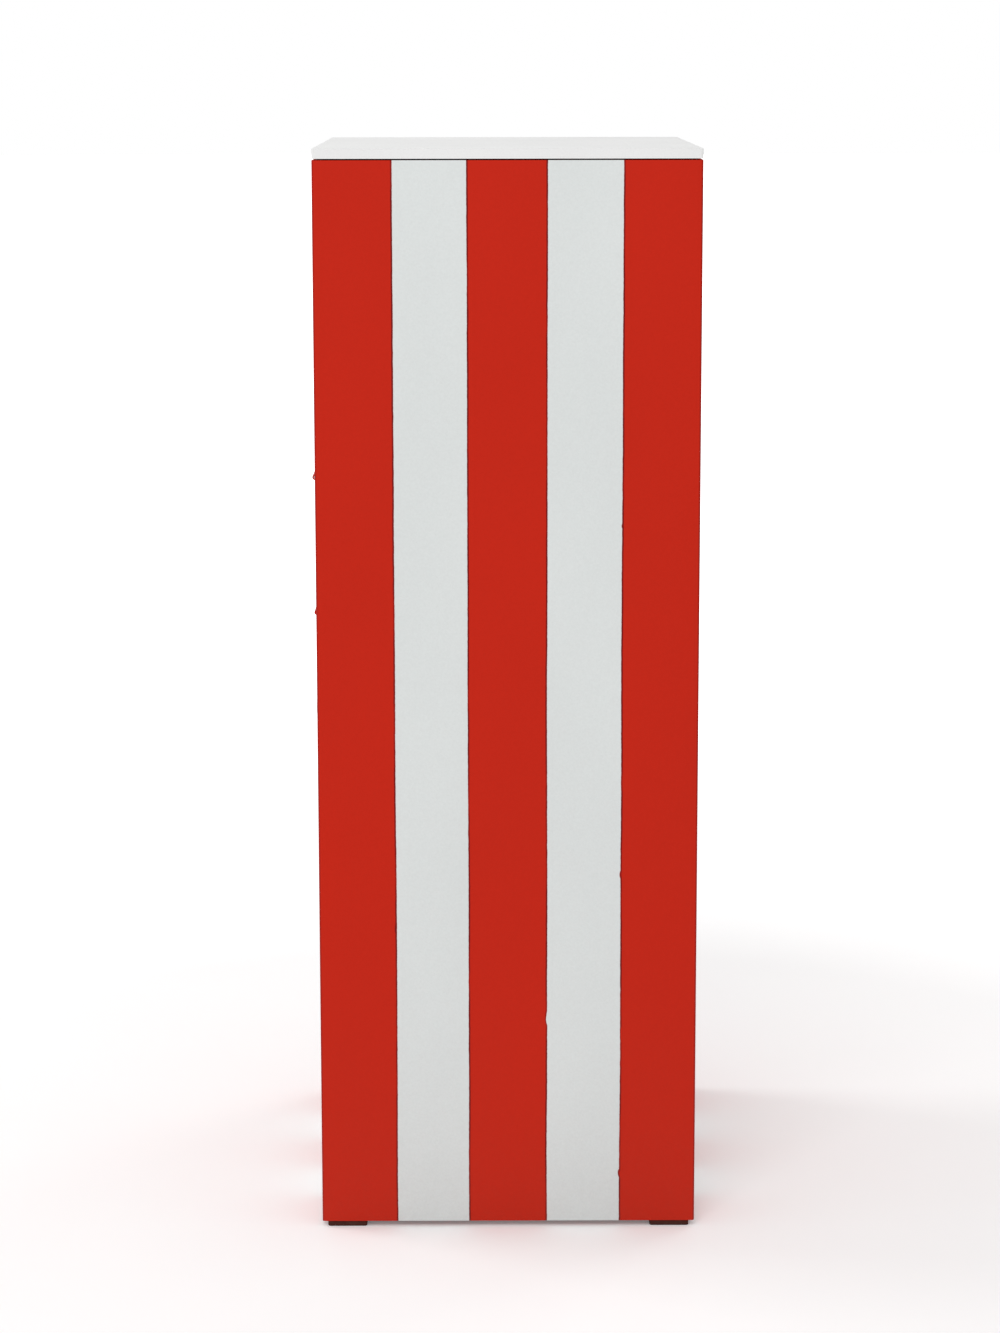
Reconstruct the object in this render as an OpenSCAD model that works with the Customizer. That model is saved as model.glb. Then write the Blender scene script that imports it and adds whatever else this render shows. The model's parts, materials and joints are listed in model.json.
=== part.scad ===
// Street fire alarm box: a floor-standing sheet-steel cabinet with a lift-flap call point in its door
// and a clockwork code transmitter inside. Millimetres. +Z is up, the door faces -Y, and the origin is on
// the ground at the middle of the base.

/* [Cabinet] */
// Width across the door side
body_w = 500; // [440:5:700]
// Depth from door to back
body_d = 400; // [360:5:560]
// Height of the painted body, without feet and lid
body_h = 1130; // [1040:5:1500]
// Sheet thickness
wall = 2; // [1.5:0.5:3]
// Outer bend radius of the vertical corners
bend_r = 3; // [2.5:0.5:6]
// Side of a square foot pad
foot_size = 42; // [30:1:60]
// Height of a foot pad
foot_h = 6; // [4:1:12]
// Distance from the door and the back to the foot pads
foot_inset = 6; // [2:1:12]
// Distance from the striped sides to the foot pads
foot_side_inset = 1; // [0.5:0.5:8]
// Thickness of the lid
lid_t = 10; // [8:1:30]
// Shadow gap between body and lid
lid_gap = 1.5; // [1:0.5:4]
// Width of the flange round the top and bottom
flange_w = 25; // [20:1:40]
// Anchor hole spacing along X
anchor_x = 360; // [280:5:360]
// Anchor hole spacing along Y
anchor_y = 260; // [200:5:260]
// Anchor hole diameter
anchor_d = 14; // [10:1:20]
// Bore of the cable gland
gland_bore = 20; // [10:1:30]

/* [Door] */
// Width of the frame beside the door
stile_w = 24; // [20:1:40]
// Height of the frame above the door
top_rail = 26; // [20:1:60]
// Height of the frame below the door
bottom_rail = 40; // [20:1:80]
// Depth of the door tray
door_t = 24; // [18:1:30]
// Gap round the door
door_gap = 2.5; // [2:0.5:4]
// Width of the land that the seal closes on
land_w = 16; // [12:1:20]
// Thickness of the door seal
seal_t = 2; // [1:0.5:4]
// Number of hinges
hinge_count = 3; // [2:1:5]
// Height of one hinge
hinge_h = 90; // [60:5:120]
// Outer radius of a hinge knuckle
knuckle_r = 5; // [4:0.5:7]
// Hinge pin diameter
hinge_pin_d = 5; // [4:0.5:6]
// Distance from the middle of the door to a stiffener
stiffener_x = 150; // [125:5:160]
// Height of the lock above the ground
lock_z = 560; // [420:5:620]
// Diameter of the lock barrel
lock_d = 22; // [18:1:26]
// Length of the lock cam from its axis
cam_reach = 45; // [35:1:48]

/* [Call point] */
// Height of the call button above the ground
call_z = 715; // [700:5:900]
// Width of the call point frame
call_w = 170; // [160:5:200]
// Height of the call point frame
call_h = 180; // [180:5:200]
// Side of the square opening
call_opening = 110; // [90:5:112]
// Thickness of the call point frame
call_t = 5; // [4:1:6]
// Depth of the call box behind the door skin
call_box_depth = 56; // [50:1:70]
// Half width of the lift flap
flap_half = 68; // [62:1:72]
// Height of the flap hinge above the button
flap_hinge_up = 75; // [70:1:80]
// Radius of the flap hinge knuckles
flap_knuckle_r = 3; // [2.5:0.5:4]
// Flap pin diameter
flap_pin_d = 3; // [2:0.5:3]
// Radius of the finger bead along the flap's lower edge
bead_r = 2.75; // [2:0.25:3]
// Glass thickness
glass_t = 3; // [2:0.5:4]
// Push button diameter
button_d = 36; // [28:1:46]
// Push button travel
button_travel = 6; // [4:1:7]
// Button stem diameter
stem_d = 8; // [6:1:10]

/* [Clockwork] */
// Width of the movement plates
plate_w = 140; // [136:2:160]
// Height of the movement plates
plate_h = 220; // [220:5:260]
// Clear space between the plates
plates_gap = 39; // [39:1:50]
// Thickness of a movement plate
plate_t = 3; // [2:0.5:4]
// Gear module
gear_m = 1; // [1:0.1:1.1]
// Teeth of the great wheel
great_teeth = 60; // [56:2:64]
// Teeth of the code arbor pinion
pinion_teeth = 20; // [18:1:22]
// Teeth of the wheel that drives the fly
drive_teeth = 54; // [48:1:56]
// Teeth of the fly pinion
fly_teeth = 12; // [11:1:14]
// Radius of the code wheel
code_r = 30; // [26:1:32]
// Depth of a code notch
notch_depth = 3; // [2:0.5:4]
// Mainspring barrel radius
barrel_r = 22; // [18:1:24]

/* [Bell and panel] */
// Gong diameter
gong_d = 100; // [80:5:110]
// Gong depth
gong_h = 24; // [18:1:28]
// Panel thickness
panel_t = 3; // [2:0.5:5]
// Height of the panel below the call button
panel_below = 185; // [180:5:220]
// Height of the panel above the call button
panel_above = 235; // [220:5:300]
// Loom diameter
loom_d = 10; // [6:1:12]

/* [Hidden] */
$fn = 48;

// Finishes
red = [0.77, 0.19, 0.13];
foot_red = [0.32, 0.11, 0.09];
white = [0.92, 0.92, 0.92];
zinc = [0.72, 0.73, 0.72];
brass = [0.80, 0.64, 0.33];
steel = [0.60, 0.61, 0.63];
black = [0.10, 0.10, 0.11];
cream = [0.90, 0.88, 0.80];

// Clearances: running fit on a pin, clearance of a screw in its hole, and a gap between parts side by side
run_fit = 0.05;
screw_fit = 0.2;
part_gap = 0.5;
seat_gap = 0.2;

// Body
half_w = body_w / 2;
half_d = body_d / 2;
front_y = -half_d;
body_top = foot_h + body_h;
lid_z = body_top + lid_gap;
inner_w = half_w - wall;
inner_d = half_d - wall;
foot_x = half_w - foot_side_inset - foot_size / 2;
foot_y = half_d - foot_inset - foot_size / 2;
bolt_r = 4;
plate_z = foot_h + wall;
base_top = plate_z + wall;
lid_hem = 20;
lid_screw_inset = 14;
gland_y = half_d - 80;
gland_neck_r = gland_bore / 2 + 4;
gland_low = 2;
gland_h = 30;

// Door
open_x = half_w - stile_w;
open_z0 = foot_h + bottom_rail;
open_z1 = body_top - top_rail;
door_x = open_x - door_gap;
door_z0 = open_z0 + door_gap;
door_z1 = open_z1 - door_gap;
land_depth = door_t + seal_t;
door_flange = 16;
leaf_t = 2;
hinge_x = -open_x + door_gap / 2;
hinge_y = front_y - knuckle_r - 0.2;
hinge_end = 112;
hinge_step = (open_z1 - open_z0 - 2 * hinge_end) / (hinge_count - 1);
hinge_zs = [for (i = [0 : hinge_count - 1]) open_z0 + hinge_end + i * hinge_step];
leaf_screw_zs = [-30, 0, 30];
frame_leaf_screw_x = -half_w + 11;
door_leaf_screw_x = hinge_x + 19;
screw_r = 1.9;
head_r = 3.6;
head_t = 1.2;
hinge_pin_r = hinge_pin_d / 2;
lock_x = door_x - 28.5;
lock_flange_t = 2;
lock_depth = 30;
plug_r = 8;
plug_proud = 2.6;
cam_t = 4;
cam_w = 20;
cam_depth = lock_depth + 2;
square_side = 8;
plug_end = cam_depth - 0.2;
square_end = cam_depth + cam_t + 2;
key_slot = [3, 9];

// Call point, as depths behind the door's face
box_half = call_opening / 2 + 5;
skin_cut = call_opening / 2 + 1;
box_back = wall + call_box_depth;
bezel_screws = [call_w / 2 - 5.5, call_h / 2 - 12];
flap_hinge_z = call_z + flap_hinge_up;
flap_gap = 0.3;
flap_hinge_y = front_y - call_t - flap_gap - flap_knuckle_r;
flap_ear_x = 75;
flap_ear_w = 20;
flap_t = 2;
flap_y = front_y - call_t - flap_gap - 0.2;
bead_z = call_z - 75;
bead_y = flap_y - bead_r;
flap_top = 5;
glass_depth = 10;
glass_half = box_half - 4;
gasket_half = box_half - wall - 0.2;
gasket_in = 3;
knob_depth = 20;
knob_t = 12;
bush_t = 2;
bush_out = 4;
bush_r = 10;
bush_neck_r = stem_d / 2 + 2;
nose_r = 1.5;
nose_l = 3;
stem_end = box_back + 18;
spring_r = 7;
spring_wire = 2;
info_w = 180;
info_h = 110;
info_t = 1.5;
rivet_x = info_w / 2 - 8;
rivet_z = info_h / 2 - 8;
rivet_head_r = 3;
rivet_head_t = 1.1;
info_z = call_z + call_h / 2 + 20 + info_h / 2;

// Trip lever, code wheel and movement plates, as depths behind the door's face
lever_arm = 30;
lever_w = 8;
lever_t = 3;
lever_depth = stem_end + part_gap;
lever_pin_r = 2;
lever_pin_depth = lever_depth + lever_t / 2;
lever_end = 34;
lever_pin_z = call_z - lever_arm;
ear_x = 5;
ear_t = 4;
ear_half = 7;
lever_swing = button_travel * lever_end / lever_arm;
front_plate_depth = lever_depth + lever_t + lever_swing + 1.7;
code_t = 3;
code_gap = 3;
code_depth = front_plate_depth - code_gap - code_t;
gear_space = front_plate_depth + plate_t;
back_plate_depth = gear_space + plates_gap;
plate_foot = 5;
panel_depth = back_plate_depth + plate_t + plate_foot;
plate_z0 = call_z - 155;
pillar_x = plate_w / 2 - 8;
pillar_zs = [plate_z0 + 8, plate_z0 + plate_h - 8];
pillar_r = 4;
code_z = call_z - 84;
great_distance = gear_m * (great_teeth + pinion_teeth) / 2;
fly_distance = gear_m * (drive_teeth + fly_teeth) / 2;
great_x = -0.6 * great_distance;
great_z = code_z - 0.8 * great_distance;
fly_x = 0.6 * fly_distance;
fly_z = code_z + 0.8 * fly_distance;
great_arbor_r = 4;
code_arbor_r = 2.5;
fly_arbor_r = 1.5;
pressure = 25;
addendum = 0.7;
dedendum = 1.0;
backlash = 0.24;
drive_layer = gear_space + 2;
drive_t = 3;
barrel_layer = drive_layer + drive_t + 2;
barrel_t = 20;
great_layer = barrel_layer + barrel_t;
great_t = 5;
fly_r = 15;
stop_radius = 24;
stop_r = 1.5;
stop_x = lever_w / 2 + stop_r + 0.3;
code_groups = [3, 2, 4];
notch_pitch = 13;
group_pitch = 26;
sense_x = code_r + 0.25;
contact_x = code_r + 14;
contact_z = code_z - 26;
contact_stud_r = 2;
blade_xs = [contact_x + 7.2, contact_x + 10.6];
blade_t = 0.6;
block_low = code_z + 31;
mesh_great = atan2(code_z - great_z, -great_x);
mesh_fly = atan2(fly_z - code_z, fly_x);

// Panel
panel_half = half_w - 50;
panel_z0 = call_z - panel_below;
panel_z1 = call_z + panel_above;
panel_back = panel_depth + panel_t;
bracket_zs = [panel_z0 + 40, panel_z1 - 40];
bracket_in = 10;
bracket_h = 60;
bracket_t = 3;
panel_screw_x = panel_half - 5;

// Bell
bell_x = -120;
bell_z = call_z + 145;
rim_y = panel_depth - 12;
gong_r = gong_d / 2;
gong_t = 2;
gong_sphere = (gong_r * gong_r + gong_h * gong_h) / (2 * gong_h);
bell_plate_t = 4;
post_r = 4;
hammer_x = bell_x + gong_r + 7;
hammer_z = bell_z - 55;
hammer_r = 6;
hammer_depth = rim_y - 6;
hammer_pin_r = 2;
coil_r = 10;
coil_x = [hammer_x + 15, hammer_x + 55];
coil_zs = [bell_z - 32, bell_z - 8];

// Test key
key_x = 125;
key_z = call_z - 75;
key_board = 8;
key_board_half = 30;
key_board_z = [key_z - 70, key_z + 50];
key_lever_depth = panel_depth - 22;
key_lever_t = 4;
key_pin_r = 2;
key_knob_z = key_z - 55;

// Wiring
strip_x = [-panel_half + 12, -plate_w / 2 - 8];
strip_z = call_z - 155;
strip_h = 26;
strip_t = 10;
block_half = 90;
block_z = 265;
block_h = 130;
block_t = 12;
loom_r = loom_d / 2;
loom_side = 14;
loom_turn_z = panel_z0 - 50;
clip_l = 12;
peg_x = 130;
peg_z = call_z + 150;
peg_r = 3;
peg_l = 14;

// Place of a given depth behind the door's face
function y_at(depth) = front_y + depth;

// Box between two X, two Y and two Z values
module block(x, y, z) {
    translate([x[0], y[0], z[0]])
        cube([x[1] - x[0], y[1] - y[0], z[1] - z[0]]);
}

// Cylinder along X, Y or Z between two values, through the point given by the other two
module rod_x(r, x, y, z) {
    translate([x[0], y, z])
        rotate([0, 90, 0])
            cylinder(r = r, h = x[1] - x[0]);
}

module rod_y(r, x, y, z) {
    translate([x, y[1], z])
        rotate([90, 0, 0])
            cylinder(r = r, h = y[1] - y[0]);
}

module rod_z(r, x, y, z) {
    translate([x, y, z[0]])
        cylinder(r = r, h = z[1] - z[0]);
}

// A flat shape drawn in X and Z, made solid between two depths behind the door's face
module slice(depth) {
    translate([0, y_at(depth[1]), 0])
        rotate([90, 0, 0])
            linear_extrude(depth[1] - depth[0])
                children();
}

// Rectangle with round corners, centred
module round_rect(w, d, r) {
    union() {
        square([w, d - 2 * r], center = true);
        square([w - 2 * r, d], center = true);
        for (sx = [-1, 1], sy = [-1, 1])
            translate([sx * (w / 2 - r), sy * (d / 2 - r)])
                circle(r = r);
    }
}

// Flat ring with a rectangular outside and inside
module flat_ring(w, d, border, r) {
    difference() {
        round_rect(w, d, r);
        square([w - 2 * border, d - 2 * border], center = true);
    }
}

// Hexagon prism along Y
module hex_y(r, x, y, z) {
    translate([x, y[1], z])
        rotate([90, 0, 0])
            cylinder(r = r, h = y[1] - y[0], $fn = 6);
}

// Screw with a low round head, driven along +Y from a face at depth
module face_screw(x, z, depth, grip) {
    union() {
        rod_y(head_r, x, [y_at(depth - head_t), y_at(depth)], z);
        rod_y(screw_r, x, [y_at(depth), y_at(depth + grip)], z);
    }
}

module screw_hole(x, z, depth) {
    rod_y(screw_r + screw_fit, x, [y_at(depth[0] - 1), y_at(depth[1] + 1)], z);
}

// ---- cabinet ----

module shell() {
    color(red)
        difference() {
            translate([0, 0, foot_h])
                linear_extrude(body_h)
                    difference() {
                        round_rect(body_w, body_d, bend_r);
                        round_rect(2 * inner_w, 2 * inner_d, bend_r - wall + 0.5);
                        translate([-open_x, front_y - 1])
                            square([2 * open_x, wall + 2]);
                    }
            for (z = hinge_zs, dz = leaf_screw_zs)
                screw_hole(frame_leaf_screw_x, z + dz, [0, wall]);
        }
}

module front_frame() {
    ring = open_x + wall;
    rail_z = [[foot_h, open_z0], [open_z1, body_top]];
    color(red)
        union() {
            for (z = rail_z)
                block([-open_x, open_x], [front_y, front_y + wall], z);
            difference() {
                block([-ring, ring], [y_at(wall), y_at(land_depth + wall)], [open_z0 - wall, open_z1 + wall]);
                block([-open_x, open_x], [y_at(0), y_at(land_depth)], [open_z0, open_z1]);
                block([-open_x + land_w, open_x - land_w], [y_at(0), y_at(land_depth + wall + 1)],
                    [open_z0 + land_w, open_z1 - land_w]);
            }
        }
}

module lid_screw_places() {
    for (sx = [-1, 1], sy = [-1, 1])
        translate([sx * (half_w - lid_screw_inset), sy * (half_d - lid_screw_inset), 0])
            children();
}

module top_frame() {
    color(red)
        difference() {
            translate([0, 0, body_top - wall])
                linear_extrude(wall)
                    flat_ring(2 * inner_w, 2 * inner_d, flange_w, bend_r);
            lid_screw_places()
                rod_z(screw_r + 2 * screw_fit, 0, 0, [body_top - wall - 1, body_top + 1]);
        }
}

module foot_places() {
    for (sx = [-1, 1], sy = [-1, 1])
        translate([sx * foot_x, sy * foot_y, 0])
            children();
}

module bottom_frame() {
    color(red)
        difference() {
            translate([0, 0, foot_h])
                linear_extrude(wall)
                    flat_ring(2 * inner_w, 2 * inner_d, flange_w, bend_r);
            foot_places()
                rod_z(bolt_r + screw_fit, 0, 0, [foot_h - 1, plate_z + 1]);
        }
}

module base_plate() {
    color(zinc)
        difference() {
            block([-inner_w + 2, inner_w - 2], [-inner_d + 2, inner_d - 2], [plate_z, base_top]);
            for (sx = [-1, 1], sy = [-1, 1])
                rod_z(anchor_d / 2, sx * anchor_x / 2, sy * anchor_y / 2, [plate_z - 1, base_top + 1]);
            foot_places()
                rod_z(bolt_r + screw_fit, 0, 0, [plate_z - 1, base_top + 1]);
            rod_z(gland_neck_r + screw_fit, 0, gland_y, [plate_z - 1, base_top + 1]);
        }
}

module feet() {
    color(foot_red)
        foot_places()
            difference() {
                linear_extrude(foot_h)
                    round_rect(foot_size, foot_size, 3);
                rod_z(bolt_r + screw_fit, 0, 0, [-1, foot_h + 1]);
                rod_z(2 * bolt_r, 0, 0, [-1, foot_h / 2]);
            }
}

module foot_bolts() {
    color(steel)
        foot_places()
            union() {
                rod_z(1.8 * bolt_r, 0, 0, [0.6, foot_h / 2]);
                rod_z(bolt_r, 0, 0, [foot_h / 2, base_top + 9]);
                translate([0, 0, base_top])
                    cylinder(r = 1.85 * bolt_r, h = 6, $fn = 6);
            }
}

module lid() {
    color(white)
        difference() {
            translate([0, 0, lid_z])
                linear_extrude(lid_t)
                    round_rect(body_w, body_d, bend_r);
            block([-inner_w, inner_w], [-inner_d, inner_d], [lid_z + wall, lid_z + lid_t - wall]);
            block([lid_hem - half_w, half_w - lid_hem], [lid_hem - half_d, half_d - lid_hem],
                [lid_z - 1, lid_z + wall + 1]);
            lid_screw_places()
                rod_z(screw_r + screw_fit, 0, 0, [lid_z - 1, lid_z + wall + 1]);
        }
}

module lid_gasket() {
    color(black)
        difference() {
            translate([0, 0, body_top])
                linear_extrude(lid_gap)
                    flat_ring(2 * (half_w - 9), 2 * (half_d - 9), lid_hem - 10, bend_r);
            lid_screw_places()
                rod_z(screw_r + 2 * screw_fit, 0, 0, [body_top - 1, lid_z + 1]);
        }
}

module cabinet_screws() {
    color(zinc)
        union() {
            for (z = hinge_zs, dz = leaf_screw_zs)
                face_screw(frame_leaf_screw_x, z + dz, -leaf_t, leaf_t + wall + 2);
            for (sx = [-1, 1], z = bracket_zs)
                face_screw(sx * panel_screw_x, z, panel_depth, panel_t + bracket_t + 3);
            lid_screw_places()
                union() {
                    rod_z(head_r, 0, 0, [body_top - wall - 3, body_top - wall]);
                    rod_z(screw_r, 0, 0, [body_top - wall, lid_z + lid_t - wall - 1]);
                }
        }
}

module cable_gland() {
    neck_top = base_top;
    hex_h = 8;
    color(brass)
        union() {
            difference() {
                union() {
                    rod_z(gland_neck_r, 0, gland_y, [gland_low, neck_top]);
                    translate([0, gland_y, neck_top])
                        cylinder(r = gland_neck_r + 5, h = hex_h, $fn = 6);
                    rod_z(gland_neck_r + 1, 0, gland_y, [neck_top + hex_h, gland_low + gland_h]);
                }
                rod_z(gland_bore / 2, 0, gland_y, [0, gland_low + gland_h + 1]);
            }
            difference() {
                translate([0, gland_y, gland_low + 1])
                    cylinder(r = gland_neck_r + 5, h = plate_z - gland_low - 1, $fn = 6);
                rod_z(gland_neck_r + screw_fit, 0, gland_y, [0, plate_z + 1]);
            }
        }
}

// ---- hinges ----

module knuckle(z0, z1, side) {
    neck = hinge_x + side * (knuckle_r + 1);
    union() {
        rod_z(knuckle_r, hinge_x, hinge_y, [z0, z1]);
        block([min(hinge_x, neck), max(hinge_x, neck)], [front_y - leaf_t, front_y], [z0, z1]);
    }
}

module hinge_bore(z) {
    rod_z(hinge_pin_r + run_fit, hinge_x, hinge_y, [z - hinge_h / 2 - 1, z + hinge_h / 2 + 1]);
}

module frame_hinge_leaves() {
    third = hinge_h / 6;
    color(red)
        for (z = hinge_zs)
            difference() {
                union() {
                    block([bend_r + 1 - half_w, hinge_x - knuckle_r - 1], [front_y - leaf_t, front_y],
                        [z - hinge_h / 2, z + hinge_h / 2]);
                    knuckle(z - hinge_h / 2, z - third - part_gap / 2, -1);
                    knuckle(z + third + part_gap / 2, z + hinge_h / 2, -1);
                }
                hinge_bore(z);
                for (dz = leaf_screw_zs)
                    screw_hole(frame_leaf_screw_x, z + dz, [-leaf_t, 0]);
            }
}

module door_hinge_leaves() {
    third = hinge_h / 6;
    color(red)
        for (z = hinge_zs)
            difference() {
                union() {
                    block([hinge_x + knuckle_r + 1, hinge_x + 30], [front_y - leaf_t, front_y],
                        [z - hinge_h / 2, z + hinge_h / 2]);
                    knuckle(z - third + part_gap / 2, z + third - part_gap / 2, 1);
                }
                hinge_bore(z);
                for (dz = leaf_screw_zs)
                    screw_hole(door_leaf_screw_x, z + dz, [-leaf_t, 0]);
            }
}

module hinge_pins() {
    color(steel)
        for (z = hinge_zs)
            union() {
                rod_z(hinge_pin_r, hinge_x, hinge_y, [z - hinge_h / 2 - 1.5, z + hinge_h / 2 + 0.2]);
                rod_z(knuckle_r - 1, hinge_x, hinge_y, [z + hinge_h / 2 + 0.2, z + hinge_h / 2 + 2.2]);
            }
}

// ---- door ----

module door_panel() {
    back = y_at(door_t);
    color(red)
        difference() {
            block([-door_x, door_x], [front_y, back], [door_z0, door_z1]);
            block([wall - door_x, door_x - wall], [y_at(wall), y_at(door_t - wall)],
                [door_z0 + wall, door_z1 - wall]);
            block([door_flange - door_x, door_x - door_flange], [y_at(wall), back + 1],
                [door_z0 + door_flange, door_z1 - door_flange]);
            block([-skin_cut, skin_cut], [front_y - 1, y_at(wall) + 1],
                [call_z - skin_cut, call_z + skin_cut]);
            rod_y(lock_d / 2 + screw_fit, lock_x, [front_y - 1, y_at(wall) + 1], lock_z);
            for (z = hinge_zs, dz = leaf_screw_zs)
                screw_hole(door_leaf_screw_x, z + dz, [0, wall]);
            for (sx = [-1, 1], sz = [-1, 1])
                screw_hole(sx * bezel_screws[0], call_z + sz * bezel_screws[1], [0, wall]);
        }
}

module door_stiffeners() {
    hat = 14;
    sheet = 1.5;
    crown = 26;
    brim = 11;
    color(red)
        for (sx = [-1, 1])
            translate([sx * stiffener_x, y_at(wall), door_z0 + 50])
                linear_extrude(door_z1 - door_z0 - 100)
                    union() {
                        for (s = [-1, 1]) {
                            translate([s * (crown / 2 + 4) - brim / 2, 0])
                                square([brim, sheet]);
                            translate([s * (crown - sheet) / 2 - sheet / 2, 0])
                                square([sheet, hat]);
                        }
                        translate([-crown / 2, hat - sheet])
                            square([crown, sheet]);
                    }
}

module door_seal() {
    inset = 2.5;
    width = 8;
    color(black)
        difference() {
            block([inset - door_x, door_x - inset], [y_at(door_t), y_at(land_depth - seat_gap / 2)],
                [door_z0 + inset, door_z1 - inset]);
            block([inset + width - door_x, door_x - inset - width], [y_at(door_t) - 1, y_at(land_depth) + 1],
                [door_z0 + inset + width, door_z1 - inset - width]);
        }
}

module door_screws() {
    color(zinc)
        union() {
            for (z = hinge_zs, dz = leaf_screw_zs)
                face_screw(door_leaf_screw_x, z + dz, -leaf_t, leaf_t + wall + 2);
            for (sx = [-1, 1], sz = [-1, 1])
                face_screw(sx * bezel_screws[0], call_z + sz * bezel_screws[1], -call_t, call_t + wall + 4);
        }
}

module lock_body() {
    color(zinc)
        difference() {
            union() {
                rod_y(lock_d / 2 + 3, lock_x, [front_y - lock_flange_t, front_y], lock_z);
                rod_y(lock_d / 2, lock_x, [front_y, y_at(lock_depth)], lock_z);
            }
            rod_y(plug_r + run_fit, lock_x, [front_y - 5, y_at(lock_depth + 1)], lock_z);
        }
}

module lock_nut() {
    color(brass)
        difference() {
            hex_y(lock_d / 2 + 4, lock_x, [y_at(wall), y_at(wall + 6)], lock_z);
            rod_y(lock_d / 2 + screw_fit, lock_x, [y_at(0), y_at(wall + 7)], lock_z);
        }
}

// Square or slot along Y, centred on the lock's axis
module lock_bar(w, h, depth) {
    block([lock_x - w / 2, lock_x + w / 2], [y_at(depth[0]), y_at(depth[1])],
        [lock_z - h / 2, lock_z + h / 2]);
}

module lock_plug() {
    color(zinc)
        difference() {
            union() {
                rod_y(plug_r, lock_x, [y_at(-plug_proud), y_at(plug_end)], lock_z);
                lock_bar(square_side, square_side, [plug_end, square_end]);
            }
            lock_bar(key_slot[0], key_slot[1], [-plug_proud - 1, 8]);
        }
}

module lock_cam() {
    hole = square_side + 0.2;
    color(steel)
        difference() {
            slice([cam_depth, cam_depth + cam_t])
                union() {
                    translate([lock_x, lock_z])
                        circle(r = cam_w / 2);
                    translate([lock_x - cam_w / 2, lock_z - cam_reach])
                        square([cam_w, cam_reach]);
                }
            lock_bar(hole, hole, [cam_depth - 1, cam_depth + cam_t + 1]);
        }
}

// ---- call point ----

module call_frame() {
    ears = [[-flap_ear_x, flap_ear_w - flap_ear_x], [flap_ear_x - flap_ear_w, flap_ear_x]];
    color(red)
        difference() {
            union() {
                slice([-call_t, 0])
                    translate([0, call_z])
                        difference() {
                            round_rect(call_w, call_h, 6);
                            square(call_opening, center = true);
                        }
                for (x = ears)
                    union() {
                        rod_x(flap_knuckle_r, x, flap_hinge_y, flap_hinge_z);
                        block(x, [flap_hinge_y, y_at(-call_t)],
                            [flap_hinge_z - flap_knuckle_r, flap_hinge_z + flap_knuckle_r]);
                    }
            }
            rod_x(flap_pin_d / 2 + run_fit, [-call_w / 2, call_w / 2], flap_hinge_y, flap_hinge_z);
            for (sx = [-1, 1], sz = [-1, 1])
                screw_hole(sx * bezel_screws[0], call_z + sz * bezel_screws[1], [-call_t, 0]);
        }
}

module flap_pin() {
    half = flap_ear_x + 0.3;
    color(steel)
        rod_x(flap_pin_d / 2, [-half, half], flap_hinge_y, flap_hinge_z);
}

module call_flap() {
    barrel = flap_ear_x - flap_ear_w - part_gap;
    color(red)
        difference() {
            union() {
                rod_x(flap_knuckle_r, [-barrel, barrel], flap_hinge_y, flap_hinge_z);
                block([-barrel, barrel], [flap_y - flap_t, flap_y],
                    [flap_hinge_z - flap_top - 1, flap_hinge_z]);
                block([-flap_half, flap_half], [flap_y - flap_t, flap_y], [bead_z, flap_hinge_z - flap_top]);
                rod_x(bead_r, [-flap_half, flap_half], bead_y, bead_z);
            }
            rod_x(flap_pin_d / 2 + run_fit, [-barrel - 1, barrel + 1], flap_hinge_y, flap_hinge_z);
        }
}

module call_box() {
    flange = call_w / 2;
    color(zinc)
        difference() {
            union() {
                block([-flange, flange], [y_at(wall), y_at(2 * wall)], [call_z - flange, call_z + flange]);
                block([-box_half, box_half], [y_at(wall), y_at(box_back)],
                    [call_z - box_half, call_z + box_half]);
            }
            block([wall - box_half, box_half - wall], [y_at(0), y_at(box_back - wall)],
                [call_z - box_half + wall, call_z + box_half - wall]);
            rod_y(bush_neck_r + screw_fit / 2, 0, [y_at(box_back - wall - 1), y_at(box_back + 1)], call_z);
            for (sx = [-1, 1], sz = [-1, 1])
                screw_hole(sx * bezel_screws[0], call_z + sz * bezel_screws[1], [wall, 2 * wall]);
        }
}

module call_glass() {
    color([0.75, 0.88, 0.88, 0.4])
        block([-glass_half, glass_half], [y_at(glass_depth), y_at(glass_depth + glass_t)],
            [call_z - glass_half, call_z + glass_half]);
}

module glass_gasket() {
    slot = glass_half + 0.2;
    sight = glass_half - gasket_in;
    color(black)
        difference() {
            block([-gasket_half, gasket_half], [y_at(wall + 0.2), y_at(glass_depth + glass_t + 2)],
                [call_z - gasket_half, call_z + gasket_half]);
            block([-sight, sight], [y_at(0), y_at(glass_depth + glass_t + 3)],
                [call_z - sight, call_z + sight]);
            block([-slot, slot], [y_at(glass_depth - 0.1), y_at(glass_depth + glass_t + 0.1)],
                [call_z - slot, call_z + slot]);
        }
}

module push_button() {
    color(black)
        union() {
            rod_y(button_d / 2, 0, [y_at(knob_depth), y_at(knob_depth + knob_t)], call_z);
            rod_y(stem_d / 2, 0, [y_at(knob_depth + knob_t), y_at(stem_end - nose_l)], call_z);
            rod_y(nose_r, 0, [y_at(stem_end - nose_l), y_at(stem_end)], call_z);
        }
}

module button_bush() {
    seat = box_back - wall;
    front = seat - bush_t;
    back = box_back + bush_out;
    color(brass)
        difference() {
            union() {
                rod_y(bush_r, 0, [y_at(front), y_at(seat)], call_z);
                rod_y(bush_neck_r, 0, [y_at(seat), y_at(back)], call_z);
            }
            rod_y(stem_d / 2 + run_fit, 0, [y_at(front - 1), y_at(back + 1)], call_z);
        }
}

module button_spring() {
    ends = [y_at(knob_depth + knob_t + 0.1), y_at(box_back - wall - bush_t - 0.1)];
    color(steel)
        difference() {
            rod_y(spring_r, 0, ends, call_z);
            rod_y(spring_r - spring_wire, 0, [ends[0] - 1, ends[1] + 1], call_z);
        }
}

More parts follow.
